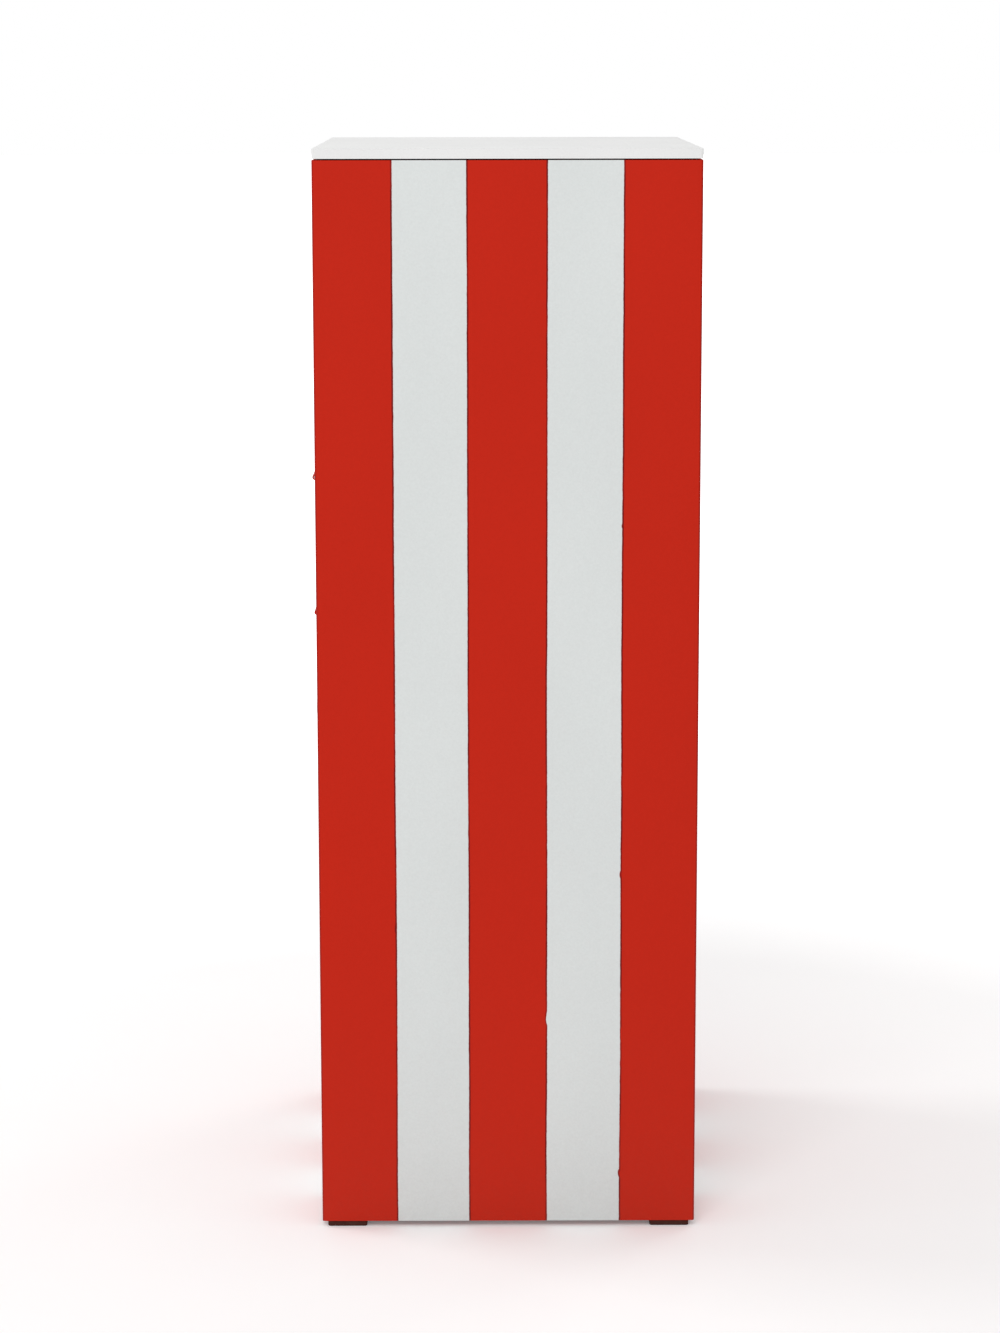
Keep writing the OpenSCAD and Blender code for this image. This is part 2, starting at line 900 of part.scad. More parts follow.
module instruction_plate() {
    color(cream)
        difference() {
            slice([-info_t, 0])
                translate([0, info_z])
                    round_rect(info_w, info_h, 6);
            for (sx = [-1, 1], sz = [-1, 1])
                screw_hole(sx * rivet_x, info_z + sz * rivet_z, [-info_t, 0]);
        }
}

module plate_rivets() {
    color(zinc)
        for (sx = [-1, 1], sz = [-1, 1])
            union() {
                rod_y(rivet_head_r, sx * rivet_x, [y_at(-info_t - rivet_head_t), y_at(-info_t)],
                    info_z + sz * rivet_z);
                rod_y(screw_r, sx * rivet_x, [y_at(-info_t), y_at(0)], info_z + sz * rivet_z);
            }
}

// ---- panel and movement ----

module panel_brackets() {
    foot = 36;
    color(zinc)
        for (side = [0, 1], z = bracket_zs)
            mirror([side, 0, 0])
                difference() {
                    union() {
                        block([panel_half - bracket_in, inner_w],
                            [y_at(panel_back), y_at(panel_back + bracket_t)],
                            [z - bracket_h / 2, z + bracket_h / 2]);
                        block([inner_w - bracket_t, inner_w], [y_at(panel_back), y_at(panel_back + foot)],
                            [z - bracket_h / 2, z + bracket_h / 2]);
                    }
                    screw_hole(panel_screw_x, z, [panel_back, panel_back + bracket_t]);
                }
}

module mechanism_panel() {
    color(cream)
        union() {
            difference() {
                block([-panel_half, panel_half], [y_at(panel_depth), y_at(panel_back)], [panel_z0, panel_z1]);
                for (sx = [-1, 1], z = bracket_zs)
                    screw_hole(sx * panel_screw_x, z, [panel_depth, panel_back]);
            }
            rod_y(peg_r, peg_x, [y_at(panel_depth - peg_l), y_at(panel_depth)], peg_z);
        }
}

module arbor_holes(depth) {
    rod_y(great_arbor_r + run_fit, great_x, [y_at(depth[0] - 1), y_at(depth[1] + 1)], great_z);
    rod_y(code_arbor_r + run_fit, 0, [y_at(depth[0] - 1), y_at(depth[1] + 1)], code_z);
    rod_y(fly_arbor_r + run_fit, fly_x, [y_at(depth[0] - 1), y_at(depth[1] + 1)], fly_z);
}

module plate_outline() {
    translate([0, plate_z0 + plate_h / 2])
        round_rect(plate_w, plate_h, 5);
}

module movement_back_plate() {
    color(brass)
        difference() {
            slice([back_plate_depth, back_plate_depth + plate_t])
                plate_outline();
            arbor_holes([back_plate_depth, back_plate_depth + plate_t]);
        }
}

module movement_front_plate() {
    color(brass)
        difference() {
            union() {
                slice([front_plate_depth, gear_space])
                    plate_outline();
                for (x = [[-ear_x - ear_t, -ear_x], [ear_x, ear_x + ear_t]])
                    block(x, [y_at(lever_pin_depth - 4), y_at(front_plate_depth)],
                        [lever_pin_z - ear_half, lever_pin_z + ear_half]);
                rod_y(contact_stud_r, contact_x, [y_at(code_depth - 1), y_at(front_plate_depth)], contact_z);
            }
            arbor_holes([front_plate_depth, gear_space]);
            rod_x(lever_pin_r + run_fit, [-ear_x - ear_t - 1, ear_x + ear_t + 1], y_at(lever_pin_depth),
                lever_pin_z);
        }
}

module movement_pillars() {
    color(brass)
        for (sx = [-1, 1], z = pillar_zs)
            union() {
                rod_y(pillar_r, sx * pillar_x, [y_at(gear_space), y_at(back_plate_depth)], z);
                rod_y(pillar_r, sx * pillar_x, [y_at(back_plate_depth + plate_t), y_at(panel_depth)], z);
                rod_y(pillar_r, sx * pillar_x, [y_at(front_plate_depth - 2), y_at(front_plate_depth)], z);
            }
}

module lever_pin() {
    color(steel)
        rod_x(lever_pin_r, [-ear_x - ear_t - 1, ear_x + ear_t + 1], y_at(lever_pin_depth), lever_pin_z);
}

module trip_lever() {
    color(steel)
        difference() {
            union() {
                block([-lever_w / 2, lever_w / 2], [y_at(lever_depth), y_at(lever_depth + lever_t)],
                    [lever_pin_z - lever_end, lever_pin_z + lever_end]);
                rod_x(lever_pin_r + 2, [-lever_w / 2, lever_w / 2], y_at(lever_pin_depth), lever_pin_z);
            }
            rod_x(lever_pin_r + run_fit, [-lever_w, lever_w], y_at(lever_pin_depth), lever_pin_z);
        }
}

// Involute gear outline: half the angle of a tooth at radius r, and the outline's points
function involute(angle) = tan(angle) - angle * PI / 180;
function half_tooth(r, teeth, base) = 90 / teeth - backlash / (gear_m * teeth) * 180 / PI
    + (involute(pressure) - involute(r > base ? acos(base / r) : 0)) * 180 / PI;
function flank(teeth) = let (
        pitch_r = gear_m * teeth / 2,
        root = pitch_r - dedendum * gear_m,
        tip = pitch_r + addendum * gear_m)
    [for (i = [0 : 5]) root + (tip - root) * i / 5];

module gear_outline(teeth, turn) {
    base = gear_m * teeth / 2 * cos(pressure);
    radii = flank(teeth);
    points = [for (t = [0 : teeth - 1], side = [-1, 1], i = [0 : 5])
        let (r = side < 0 ? radii[i] : radii[5 - i],
            a = turn + t * 360 / teeth + side * half_tooth(r, teeth, base))
        [r * cos(a), r * sin(a)]];
    polygon(points);
}

module great_wheel() {
    color(brass)
        union() {
            slice([great_layer, great_layer + great_t])
                translate([great_x, great_z])
                    gear_outline(great_teeth, mesh_great);
            rod_y(barrel_r, great_x, [y_at(barrel_layer), y_at(great_layer)], great_z);
            rod_y(great_arbor_r, great_x, [y_at(front_plate_depth - 1), y_at(back_plate_depth + plate_t)],
                great_z);
            block([great_x - 3, great_x + 3], [y_at(front_plate_depth - 9), y_at(front_plate_depth - 1)],
                [great_z - 3, great_z + 3]);
        }
}

module code_arbor() {
    holes = 5;
    hole_r = 5;
    hole_at = 16;
    color(brass)
        union() {
            rod_y(code_arbor_r, 0, [y_at(code_depth - 3), y_at(back_plate_depth + plate_t)], code_z);
            slice([great_layer - 1, great_layer + great_t + 1])
                translate([0, code_z])
                    gear_outline(pinion_teeth, mesh_great + 180 + 180 / pinion_teeth);
            difference() {
                slice([drive_layer, drive_layer + drive_t])
                    translate([0, code_z])
                        gear_outline(drive_teeth, mesh_fly);
                for (i = [0 : holes - 1])
                    rod_y(hole_r, hole_at * cos(i * 360 / holes),
                        [y_at(drive_layer - 1), y_at(drive_layer + drive_t + 1)],
                        code_z + hole_at * sin(i * 360 / holes));
            }
        }
}

// Angles of the code notches: one group after another round the rim
function notch_angle(group, i) = 40 + group * group_pitch + (sum_before(group) + i) * notch_pitch;
function sum_before(group) = group == 0 ? 0 : code_groups[group - 1] + sum_before(group - 1);

module code_wheel() {
    hub_r = 8;
    stop_z = sqrt(stop_radius * stop_radius - stop_x * stop_x);
    color(brass)
        difference() {
            union() {
                slice([code_depth, code_depth + code_t])
                    translate([0, code_z])
                        difference() {
                            circle(r = code_r);
                            for (g = [0 : len(code_groups) - 1], i = [0 : code_groups[g] - 1])
                                rotate(notch_angle(g, i))
                                    translate([code_r - notch_depth, -1.5])
                                        square([notch_depth + 1, 3]);
                        }
                rod_y(hub_r, 0, [y_at(code_depth - 2), y_at(code_depth + code_t + 1.5)], code_z);
                rod_y(stop_r, stop_x, [y_at(lever_depth - 1), y_at(code_depth)], code_z + stop_z);
            }
            rod_y(code_arbor_r + run_fit, 0, [y_at(code_depth - 4), y_at(code_depth + code_t + 3)], code_z);
        }
}

module fly() {
    blade_t = 1.2;
    blades = [drive_layer + 9, back_plate_depth - 5];
    color(brass)
        union() {
            rod_y(fly_arbor_r, fly_x, [y_at(front_plate_depth + 1), y_at(back_plate_depth + plate_t - 1)],
                fly_z);
            slice([drive_layer - 1, drive_layer + drive_t + 1])
                translate([fly_x, fly_z])
                    gear_outline(fly_teeth, mesh_fly + 180 + 180 / fly_teeth);
            rod_y(3.5, fly_x, [y_at(blades[0]), y_at(blades[1])], fly_z);
            block([fly_x - fly_r, fly_x + fly_r], [y_at(blades[0]), y_at(blades[1])],
                [fly_z - blade_t / 2, fly_z + blade_t / 2]);
        }
}

module contact_lever() {
    arm = 3;
    top = code_z + 24;
    nose = 5;
    color(brass)
        difference() {
            slice([code_depth, code_depth + code_t])
                union() {
                    translate([contact_x, contact_z])
                        circle(r = 5);
                    translate([contact_x - arm, contact_z])
                        square([2 * arm, top - contact_z]);
                    polygon([
                        [contact_x - arm, code_z - nose],
                        [contact_x - arm, code_z + nose],
                        [sense_x, code_z]]);
                }
            rod_y(contact_stud_r + run_fit, contact_x, [y_at(code_depth - 1), y_at(code_depth + code_t + 1)],
                contact_z);
        }
}

module contact_springs() {
    color(brass)
        for (x = blade_xs)
            block([x, x + blade_t], [y_at(code_depth - 1), y_at(code_depth + code_t + 1)],
                [code_z + 9, block_low + 10]);
}

module contact_block() {
    color(black)
        difference() {
            block([contact_x + 4, contact_x + 16], [y_at(code_depth - 4), y_at(front_plate_depth)],
                [block_low, block_low + 18]);
            for (x = blade_xs)
                block([x - 0.1, x + blade_t + 0.1], [y_at(code_depth - 1.1), y_at(code_depth + code_t + 1.1)],
                    [block_low - 1, block_low + 10.1]);
        }
}

// ---- bell ----

module bell_frame() {
    nut_y = rim_y - gong_h;
    plate_y = [y_at(panel_depth - bell_plate_t), y_at(panel_depth)];
    color(zinc)
        union() {
            block([bell_x - 20, coil_x[1] + 6], plate_y, [hammer_z - 12, bell_z + 15]);
            rod_y(post_r, bell_x, [y_at(nut_y - 5), y_at(panel_depth - bell_plate_t)], bell_z);
            rod_y(2 * post_r, bell_x, [y_at(nut_y + gong_t + 1), y_at(panel_depth - bell_plate_t)], bell_z);
            rod_y(hammer_pin_r, hammer_x, [y_at(hammer_depth - 8), y_at(panel_depth - bell_plate_t)],
                hammer_z);
            rod_y(2 * hammer_pin_r, hammer_x, [y_at(hammer_depth + 5), y_at(panel_depth - bell_plate_t)],
                hammer_z);
            block([coil_x[1], coil_x[1] + 6], [y_at(hammer_depth - 8), y_at(panel_depth - bell_plate_t)],
                [coil_zs[0] - 8, coil_zs[1] + 8]);
            difference() {
                hex_y(7, bell_x, [y_at(nut_y - 4), y_at(nut_y - 0.1)], bell_z);
                rod_y(post_r + screw_fit, bell_x, [y_at(nut_y - 6), y_at(nut_y + 1)], bell_z);
            }
        }
}

module bell_coils() {
    color([0.45, 0.16, 0.12])
        for (z = coil_zs)
            union() {
                rod_x(coil_r - 2, coil_x, y_at(hammer_depth), z);
                for (x = [coil_x[0], coil_x[1] - 2])
                    rod_x(coil_r, [x, x + 2], y_at(hammer_depth), z);
                rod_x(3, [coil_x[0] - 2, coil_x[0]], y_at(hammer_depth), z);
            }
}

module bell_gong() {
    centre = gong_h - gong_sphere;
    color(brass)
        difference() {
            translate([bell_x, y_at(rim_y), bell_z])
                rotate([90, 0, 0])
                    rotate_extrude($fn = 96)
                        intersection() {
                            difference() {
                                translate([0, centre])
                                    circle(r = gong_sphere, $fn = 96);
                                translate([0, centre])
                                    circle(r = gong_sphere - gong_t, $fn = 96);
                            }
                            square([gong_r + 5, gong_h + 5]);
                        }
            rod_y(post_r + screw_fit, bell_x, [y_at(rim_y - gong_h - 5), y_at(rim_y)], bell_z);
        }
}

module bell_hammer() {
    color(steel)
        difference() {
            union() {
                rod_y(5, hammer_x, [y_at(hammer_depth - 4), y_at(hammer_depth + 4)], hammer_z);
                rod_z(1.5, hammer_x, y_at(hammer_depth), [hammer_z, bell_z - 2]);
                translate([hammer_x, y_at(hammer_depth), bell_z])
                    sphere(r = hammer_r);
                block([hammer_x + 1, hammer_x + 4], [y_at(hammer_depth - 7), y_at(hammer_depth + 7)],
                    [coil_zs[0] - 12, coil_zs[1] + 4]);
                block([hammer_x - 1, hammer_x + 4], [y_at(hammer_depth - 3), y_at(hammer_depth + 3)],
                    [hammer_z + 3, coil_zs[0] - 4]);
            }
            rod_y(hammer_pin_r + run_fit, hammer_x, [y_at(hammer_depth - 6), y_at(hammer_depth + 6)],
                hammer_z);
        }
}

// ---- test key ----

module key_base() {
    ear = 4;
    color(black)
        difference() {
            union() {
                block([key_x - key_board_half, key_x + key_board_half],
                    [y_at(panel_depth - key_board), y_at(panel_depth)], key_board_z);
                for (x = [[key_x - 12, key_x - 12 + ear], [key_x + 12 - ear, key_x + 12]])
                    block(x, [y_at(key_lever_depth - 3), y_at(panel_depth - key_board)],
                        [key_z - 7, key_z + 7]);
            }
            rod_x(key_pin_r + run_fit, [key_x - 13, key_x + 13], y_at(key_lever_depth + key_lever_t / 2),
                key_z);
        }
}

module key_fittings() {
    board = y_at(panel_depth - key_board);
    color(brass)
        union() {
            rod_y(3, key_x, [y_at(key_lever_depth + key_lever_t + 3.5), board], key_knob_z + 5);
            rod_y(3, key_x, [y_at(key_lever_depth + key_lever_t + 0.2), board], key_z + 40);
            rod_x(key_pin_r, [key_x - 14, key_x + 14], y_at(key_lever_depth + key_lever_t / 2), key_z);
            for (sx = [-1, 1])
                rod_y(4, key_x + sx * 21, [board - 6, board], key_z + 36);
        }
}

module key_lever() {
    knob_r = 13;
    half = 5;
    color(brass)
        difference() {
            union() {
                block([key_x - half, key_x + half],
                    [y_at(key_lever_depth), y_at(key_lever_depth + key_lever_t)],
                    [key_knob_z - half, key_z + 45]);
                rod_x(half, [key_x - half, key_x + half], y_at(key_lever_depth + key_lever_t / 2), key_z);
                rod_y(3, key_x, [y_at(key_lever_depth - 6), y_at(key_lever_depth)], key_knob_z);
                rod_y(knob_r, key_x, [y_at(key_lever_depth - 14), y_at(key_lever_depth - 6)], key_knob_z);
            }
            rod_x(key_pin_r + run_fit, [key_x - half - 1, key_x + half + 1],
                y_at(key_lever_depth + key_lever_t / 2), key_z);
        }
}

// ---- wiring ----

module terminal_strip() {
    count = 6;
    rib = 2;
    pitch = (strip_x[1] - strip_x[0]) / count;
    face = panel_depth - strip_t;
    color(black)
        difference() {
            block(strip_x, [y_at(face), y_at(panel_depth)], [strip_z, strip_z + strip_h]);
            for (i = [0 : count - 1])
                block([strip_x[0] + i * pitch + rib, strip_x[0] + (i + 1) * pitch - rib],
                    [y_at(face - 1), y_at(face + 3)], [strip_z + 2 * rib, strip_z + strip_h - 2 * rib]);
        }
}

module terminal_block() {
    color(cream)
        block([-block_half, block_half], [inner_d - block_t, inner_d],
            [block_z - block_h / 2, block_z + block_h / 2]);
}

module surge_arresters() {
    face = inner_d - block_t;
    color(white)
        for (x = [-50, 50])
            union() {
                rod_z(10, x, face - 14, [block_z - 30, block_z + 30]);
                for (z = [block_z - 36, block_z + 30])
                    block([x - 6, x + 6], [face - 22, face], [z, z + 6]);
            }
}

// The loom's corners: from the terminal block, up the back corner, forward along the side and up to the strip
loom_x = -inner_w + loom_side;
loom_y = inner_d - loom_side;
loom_end_x = (strip_x[0] + strip_x[1]) / 2;
loom_end_y = y_at(panel_depth - strip_t / 2);
loom = [[-block_half - 0.3, loom_y, block_z], [loom_x, loom_y, block_z], [loom_x, loom_y, loom_turn_z],
    [loom_x, y_at(panel_back + 20), loom_turn_z], [loom_end_x, y_at(panel_back + 20), loom_turn_z],
    [loom_end_x, loom_end_y, loom_turn_z], [loom_end_x, loom_end_y, strip_z - 0.3]];

module wiring_loom() {
    color(black)
        union() {
            for (i = [0 : len(loom) - 2]) {
                a = loom[i];
                b = loom[i + 1];
                if (a[0] != b[0])
                    rod_x(loom_r, [min(a[0], b[0]), max(a[0], b[0])], a[1], a[2]);
                else if (a[1] != b[1])
                    rod_y(loom_r, a[0], [min(a[1], b[1]), max(a[1], b[1])], a[2]);
                else
                    rod_z(loom_r, a[0], a[1], [min(a[2], b[2]), max(a[2], b[2])]);
            }
            for (i = [1 : len(loom) - 2])
                translate(loom[i])
                    sphere(r = loom_r);
        }
}

module loom_clips() {
    hold = loom_r + 4;
    color(black)
        union() {
            for (z = [block_z + 60, loom_turn_z - 50])
                difference() {
                    block([loom_x - hold, loom_x + hold], [loom_y - hold, inner_d], [z, z + clip_l]);
                    rod_z(loom_r + 0.1, loom_x, loom_y, [z - 1, z + clip_l + 1]);
                }
            for (y = [loom_y - 60, y_at(panel_back + 60)])
                difference() {
                    block([-inner_w, loom_x + hold], [y, y + clip_l],
                        [loom_turn_z - hold, loom_turn_z + hold]);
                    rod_y(loom_r + 0.1, loom_x, [y - 1, y + clip_l + 1], loom_turn_z);
                }
        }
}

module winding_key() {
    mid = y_at(panel_depth - 8);
    socket = 3.2;
    color(steel)
        difference() {
            union() {
                slice([panel_depth - 10, panel_depth - 6])
                    translate([peg_x, peg_z - 8])
                        circle(r = 16);
                rod_z(5, peg_x, mid, [peg_z - 70, peg_z - 20]);
            }
            rod_y(peg_r + 1, peg_x, [y_at(panel_depth - 11), y_at(panel_depth - 5)], peg_z);
            block([peg_x - socket, peg_x + socket], [mid - socket, mid + socket], [peg_z - 71, peg_z - 56]);
        }
}

shell();
front_frame();
top_frame();
bottom_frame();
base_plate();
feet();
foot_bolts();
lid();
lid_gasket();
cabinet_screws();
cable_gland();
frame_hinge_leaves();
hinge_pins();
panel_brackets();
mechanism_panel();
movement_back_plate();
movement_front_plate();
movement_pillars();
lever_pin();
contact_block();
contact_springs();
bell_frame();
bell_coils();
bell_gong();
key_base();
key_fittings();
terminal_strip();
terminal_block();
surge_arresters();
wiring_loom();
loom_clips();
winding_key();
door_panel();
door_stiffeners();
door_seal();
door_hinge_leaves();
door_screws();
lock_body();
lock_nut();
call_frame();
call_box();
call_glass();
glass_gasket();
button_bush();
flap_pin();
instruction_plate();
plate_rivets();
lock_plug();
lock_cam();
call_flap();
push_button();
button_spring();
trip_lever();
great_wheel();
code_arbor();
code_wheel();
fly();
contact_lever();
bell_hammer();
key_lever();
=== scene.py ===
"""Street fire alarm box: the finish and the fine detail of every piece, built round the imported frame.

Everything is in metres in the frame's own axes: +Z up, the door towards -Y, the striped side towards +X.
"""
import json
import math

import bmesh
import bpy
import numpy as np
from mathutils import Matrix, Vector

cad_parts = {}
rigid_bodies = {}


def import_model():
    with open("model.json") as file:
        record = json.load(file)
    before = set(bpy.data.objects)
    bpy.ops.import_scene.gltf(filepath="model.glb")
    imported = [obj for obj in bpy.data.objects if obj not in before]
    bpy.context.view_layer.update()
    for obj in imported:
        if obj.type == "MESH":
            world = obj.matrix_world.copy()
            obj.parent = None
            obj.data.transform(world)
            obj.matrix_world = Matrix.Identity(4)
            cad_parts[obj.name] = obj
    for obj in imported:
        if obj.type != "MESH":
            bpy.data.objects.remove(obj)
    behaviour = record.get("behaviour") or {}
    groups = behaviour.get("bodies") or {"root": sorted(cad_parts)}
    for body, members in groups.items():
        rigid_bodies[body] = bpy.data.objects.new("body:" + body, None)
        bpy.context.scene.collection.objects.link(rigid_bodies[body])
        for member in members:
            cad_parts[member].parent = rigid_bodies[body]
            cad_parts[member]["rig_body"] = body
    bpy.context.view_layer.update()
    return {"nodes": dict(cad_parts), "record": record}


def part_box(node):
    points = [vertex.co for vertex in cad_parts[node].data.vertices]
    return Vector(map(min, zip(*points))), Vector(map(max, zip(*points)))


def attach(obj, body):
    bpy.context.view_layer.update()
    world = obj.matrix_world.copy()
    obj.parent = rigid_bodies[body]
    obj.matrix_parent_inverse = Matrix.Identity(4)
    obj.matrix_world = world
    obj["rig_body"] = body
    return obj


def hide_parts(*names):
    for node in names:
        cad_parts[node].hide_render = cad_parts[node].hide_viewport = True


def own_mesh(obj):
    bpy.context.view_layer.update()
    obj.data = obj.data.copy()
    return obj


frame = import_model()

MM = 0.001
BODY_OF = {n: o["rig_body"] for n, o in frame["nodes"].items()}
SLOT_OF = {s["node"]: s["material_slot"] for s in frame["record"]["subparts"]}
HALF_W, HALF_D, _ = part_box("shell")[1]

# ---------------- camera, floor and light

CAMERA_AT = Vector((3.7621, -0.02185, 1.2416))
CAMERA_TURN = math.radians(-0.2221)
CAMERA_PITCH = math.radians(10.1614)
CAMERA_ROLL = math.radians(-0.07375)
CAMERA_LENS = 92.17


def make_camera():
    """The camera in front of the striped side, a little above the lid and looking slightly down."""
    ahead = Vector((-math.cos(CAMERA_TURN), -math.sin(CAMERA_TURN), 0))
    across = Vector((-math.sin(CAMERA_TURN), math.cos(CAMERA_TURN), 0))
    forward = ahead * math.cos(CAMERA_PITCH) - Vector((0, 0, math.sin(CAMERA_PITCH)))
    up = ahead * math.sin(CAMERA_PITCH) + Vector((0, 0, math.cos(CAMERA_PITCH)))
    right = math.cos(CAMERA_ROLL) * across + math.sin(CAMERA_ROLL) * up
    top = -math.sin(CAMERA_ROLL) * across + math.cos(CAMERA_ROLL) * up
    data = bpy.data.cameras.new("camera")
    data.lens = CAMERA_LENS
    data.clip_start = 0.05
    data.clip_end = 100
    camera = bpy.data.objects.new("camera", data)
    bpy.context.scene.collection.objects.link(camera)
    turn = Matrix((right, top, -forward)).transposed()
    camera.matrix_world = Matrix.Translation(CAMERA_AT) @ turn.to_4x4()
    bpy.context.scene.camera = camera


def area_light(name, place, target, size, power, colour=(1, 1, 1)):
    data = bpy.data.lights.new(name, "AREA")
    data.shape = "RECTANGLE"
    data.size, data.size_y = size
    data.energy = power
    data.color = colour
    light = bpy.data.objects.new(name, data)
    bpy.context.scene.collection.objects.link(light)
    away = Vector(place) - Vector(target)
    light.matrix_world = Matrix.Translation(place) @ away.to_track_quat("Z", "Y").to_matrix().to_4x4()


def make_studio():
    """White surroundings, soft boxes above and in front, and a plain pale floor."""
    scene = bpy.context.scene
    scene.view_settings.view_transform = "Standard"
    world = bpy.data.worlds.new("studio")
    world.use_nodes = True
    tree = world.node_tree
    seen = add(tree, "ShaderNodeLightPath").outputs["Is Camera Ray"]
    strength = ramp(tree, seen, 0.0, 1.0, 0.68, 1.0)
    tree.nodes["Background"].inputs["Color"].default_value = (1, 1, 1, 1)
    tree.links.new(strength, tree.nodes["Background"].inputs["Strength"])
    scene.world = world
    area_light("soft_box_side", (2.9, -0.7, 2.9), (0, 0, 1.0), (1.4, 1.4), 30)
    area_light("soft_box_front", (-0.9, -3.0, 2.7), (0, 0, 0.9), (1.4, 1.4), 32)
    area_light("soft_box_back", (-2.6, 2.4, 2.8), (0, 0, 0.8), (1.6, 1.6), 16)
    floor = disc("floor", 40.0, 96)
    floor.data.materials.append(floor_material())


# ---------------- shader helpers


def add(tree, kind, inputs=None, **settings):
    """A node with its settings, and its inputs given by name or place as values or as other sockets."""
    made = tree.nodes.new(kind)
    for key, value in settings.items():
        setattr(made, key, value)
    for key, value in (inputs or {}).items():
        socket = made.inputs[key]
        if isinstance(value, bpy.types.NodeSocket):
            tree.links.new(value, socket)
        else:
            socket.default_value = value
    return made


def operation(kind):
    """A short name for one kind of maths node. Its values may be numbers or sockets."""
    def make(tree, *values, clamp=False):
        made = add(tree, "ShaderNodeMath", dict(enumerate(values)), operation=kind, use_clamp=clamp)
        return made.outputs[0]
    return make


plus = operation("ADD")
minus = operation("SUBTRACT")
times = operation("MULTIPLY")
over = operation("DIVIDE")
power = operation("POWER")
size_of = operation("ABSOLUTE")
above = operation("GREATER_THAN")
below = operation("LESS_THAN")
larger = operation("MAXIMUM")
smaller = operation("MINIMUM")
sine = operation("SINE")
root = operation("SQRT")


def mix_colour(tree, factor, first, second, blend="MIX"):
    made = add(tree, "ShaderNodeMix", {0: factor, 6: first, 7: second}, data_type="RGBA", blend_type=blend)
    return made.outputs[2]


def ramp(tree, value, low, high, out_low=0.0, out_high=1.0):
    """Value carried from low..high to out_low..out_high and held at the ends."""
    made = add(tree, "ShaderNodeMapRange", {0: value, 1: low, 2: high, 3: out_low, 4: out_high})
    return made.outputs[0]


def noise(tree, coords, scale, detail=2.0, rough=0.5):
    given = {"Vector": coords, "Scale": scale, "Detail": detail, "Roughness": rough}
    return add(tree, "ShaderNodeTexNoise", given).outputs[0]


def axes(tree, vector):
    return add(tree, "ShaderNodeSeparateXYZ", {0: vector}).outputs


def scaled(tree, coords, factors):
    return add(tree, "ShaderNodeMapping", {"Vector": coords, "Scale": factors}).outputs[0]


def new_group(name, inputs, outputs, kind="ShaderNodeTree"):
    """An empty node group with the sockets that bring values in and the sockets that take results out.

    inputs holds (name, type, default), and outputs holds (name, type).
    """
    group = bpy.data.node_groups.new(name, kind)
    for label, socket_type, default in inputs:
        socket = group.interface.new_socket(label, in_out="INPUT", socket_type=socket_type)
        if default is not None:
            socket.default_value = default
    for label, socket_type in outputs:
        group.interface.new_socket(label, in_out="OUTPUT", socket_type=socket_type)
    return group, group.nodes.new("NodeGroupInput").outputs, group.nodes.new("NodeGroupOutput").inputs


FLOAT = "NodeSocketFloat"
COLOR = "NodeSocketColor"
VECTOR = "NodeSocketVector"
INTEGER = "NodeSocketInt"
GEOMETRY = "NodeSocketGeometry"
OBJECT = "NodeSocketObject"
MATERIAL = "NodeSocketMaterial"


def build_paint_film():
    """Brushed and rolled paint: a fine orange peel, a slower waviness, and a drift in colour and gloss."""
    group, given, out = new_group(
        "paint_film",
        [("Coords", VECTOR, None), ("Color", COLOR, (0.5, 0.5, 0.5, 1)),
         ("Grain", FLOAT, 520.0), ("Drift", FLOAT, 0.06)],
        [("Color", COLOR), ("Height", FLOAT), ("Gloss", FLOAT)],
    )
    coords = given["Coords"]
    peel = noise(group, coords, given["Grain"], 2.0, 0.55)
    stipple = noise(group, coords, times(group, given["Grain"], 3.1), 1.0)
    waves = noise(group, scaled(group, coords, (1, 1, 0.35)), 26.0, 2.0)
    patches = noise(group, scaled(group, coords, (1, 1, 0.5)), 7.0, 3.0)
    peel_part = times(group, peel, 0.6)
    stipple_part = times(group, stipple, 0.25)
    height = plus(group, plus(group, peel_part, stipple_part), times(group, waves, 0.8))
    drift = times(group, minus(group, patches, 0.5), given["Drift"])
    grain_tone = times(group, minus(group, peel, 0.5), 0.10)
    tone = plus(group, plus(group, drift, grain_tone), 1.0)
    toned = add(group, "ShaderNodeVectorMath", {0: given["Color"], "Scale": tone}, operation="SCALE")
    group.links.new(toned.outputs[0], out["Color"])
    group.links.new(height, out["Height"])
    group.links.new(patches, out["Gloss"])
    return group


def build_edge_wear():
    """Where an edge has lost its finish: the edge's own mark, broken up by a coarse and a fine noise."""
    group, given, out = new_group(
        "edge_wear",
        [("Coords", VECTOR, None), ("Edge", FLOAT, 0.0), ("Amount", FLOAT, 0.4)],
        [("Mask", FLOAT)],
    )
    coarse = noise(group, given["Coords"], 34.0, 3.0)
    fine = noise(group, given["Coords"], 420.0, 2.0)
    both = plus(group, times(group, coarse, 0.7), times(group, fine, 0.3))
    level = minus(group, 0.86, times(group, given["Amount"], 0.5))
    spots = ramp(group, both, level, plus(group, level, 0.04))
    group.links.new(times(group, spots, given["Edge"], clamp=True), out["Mask"])
    return group


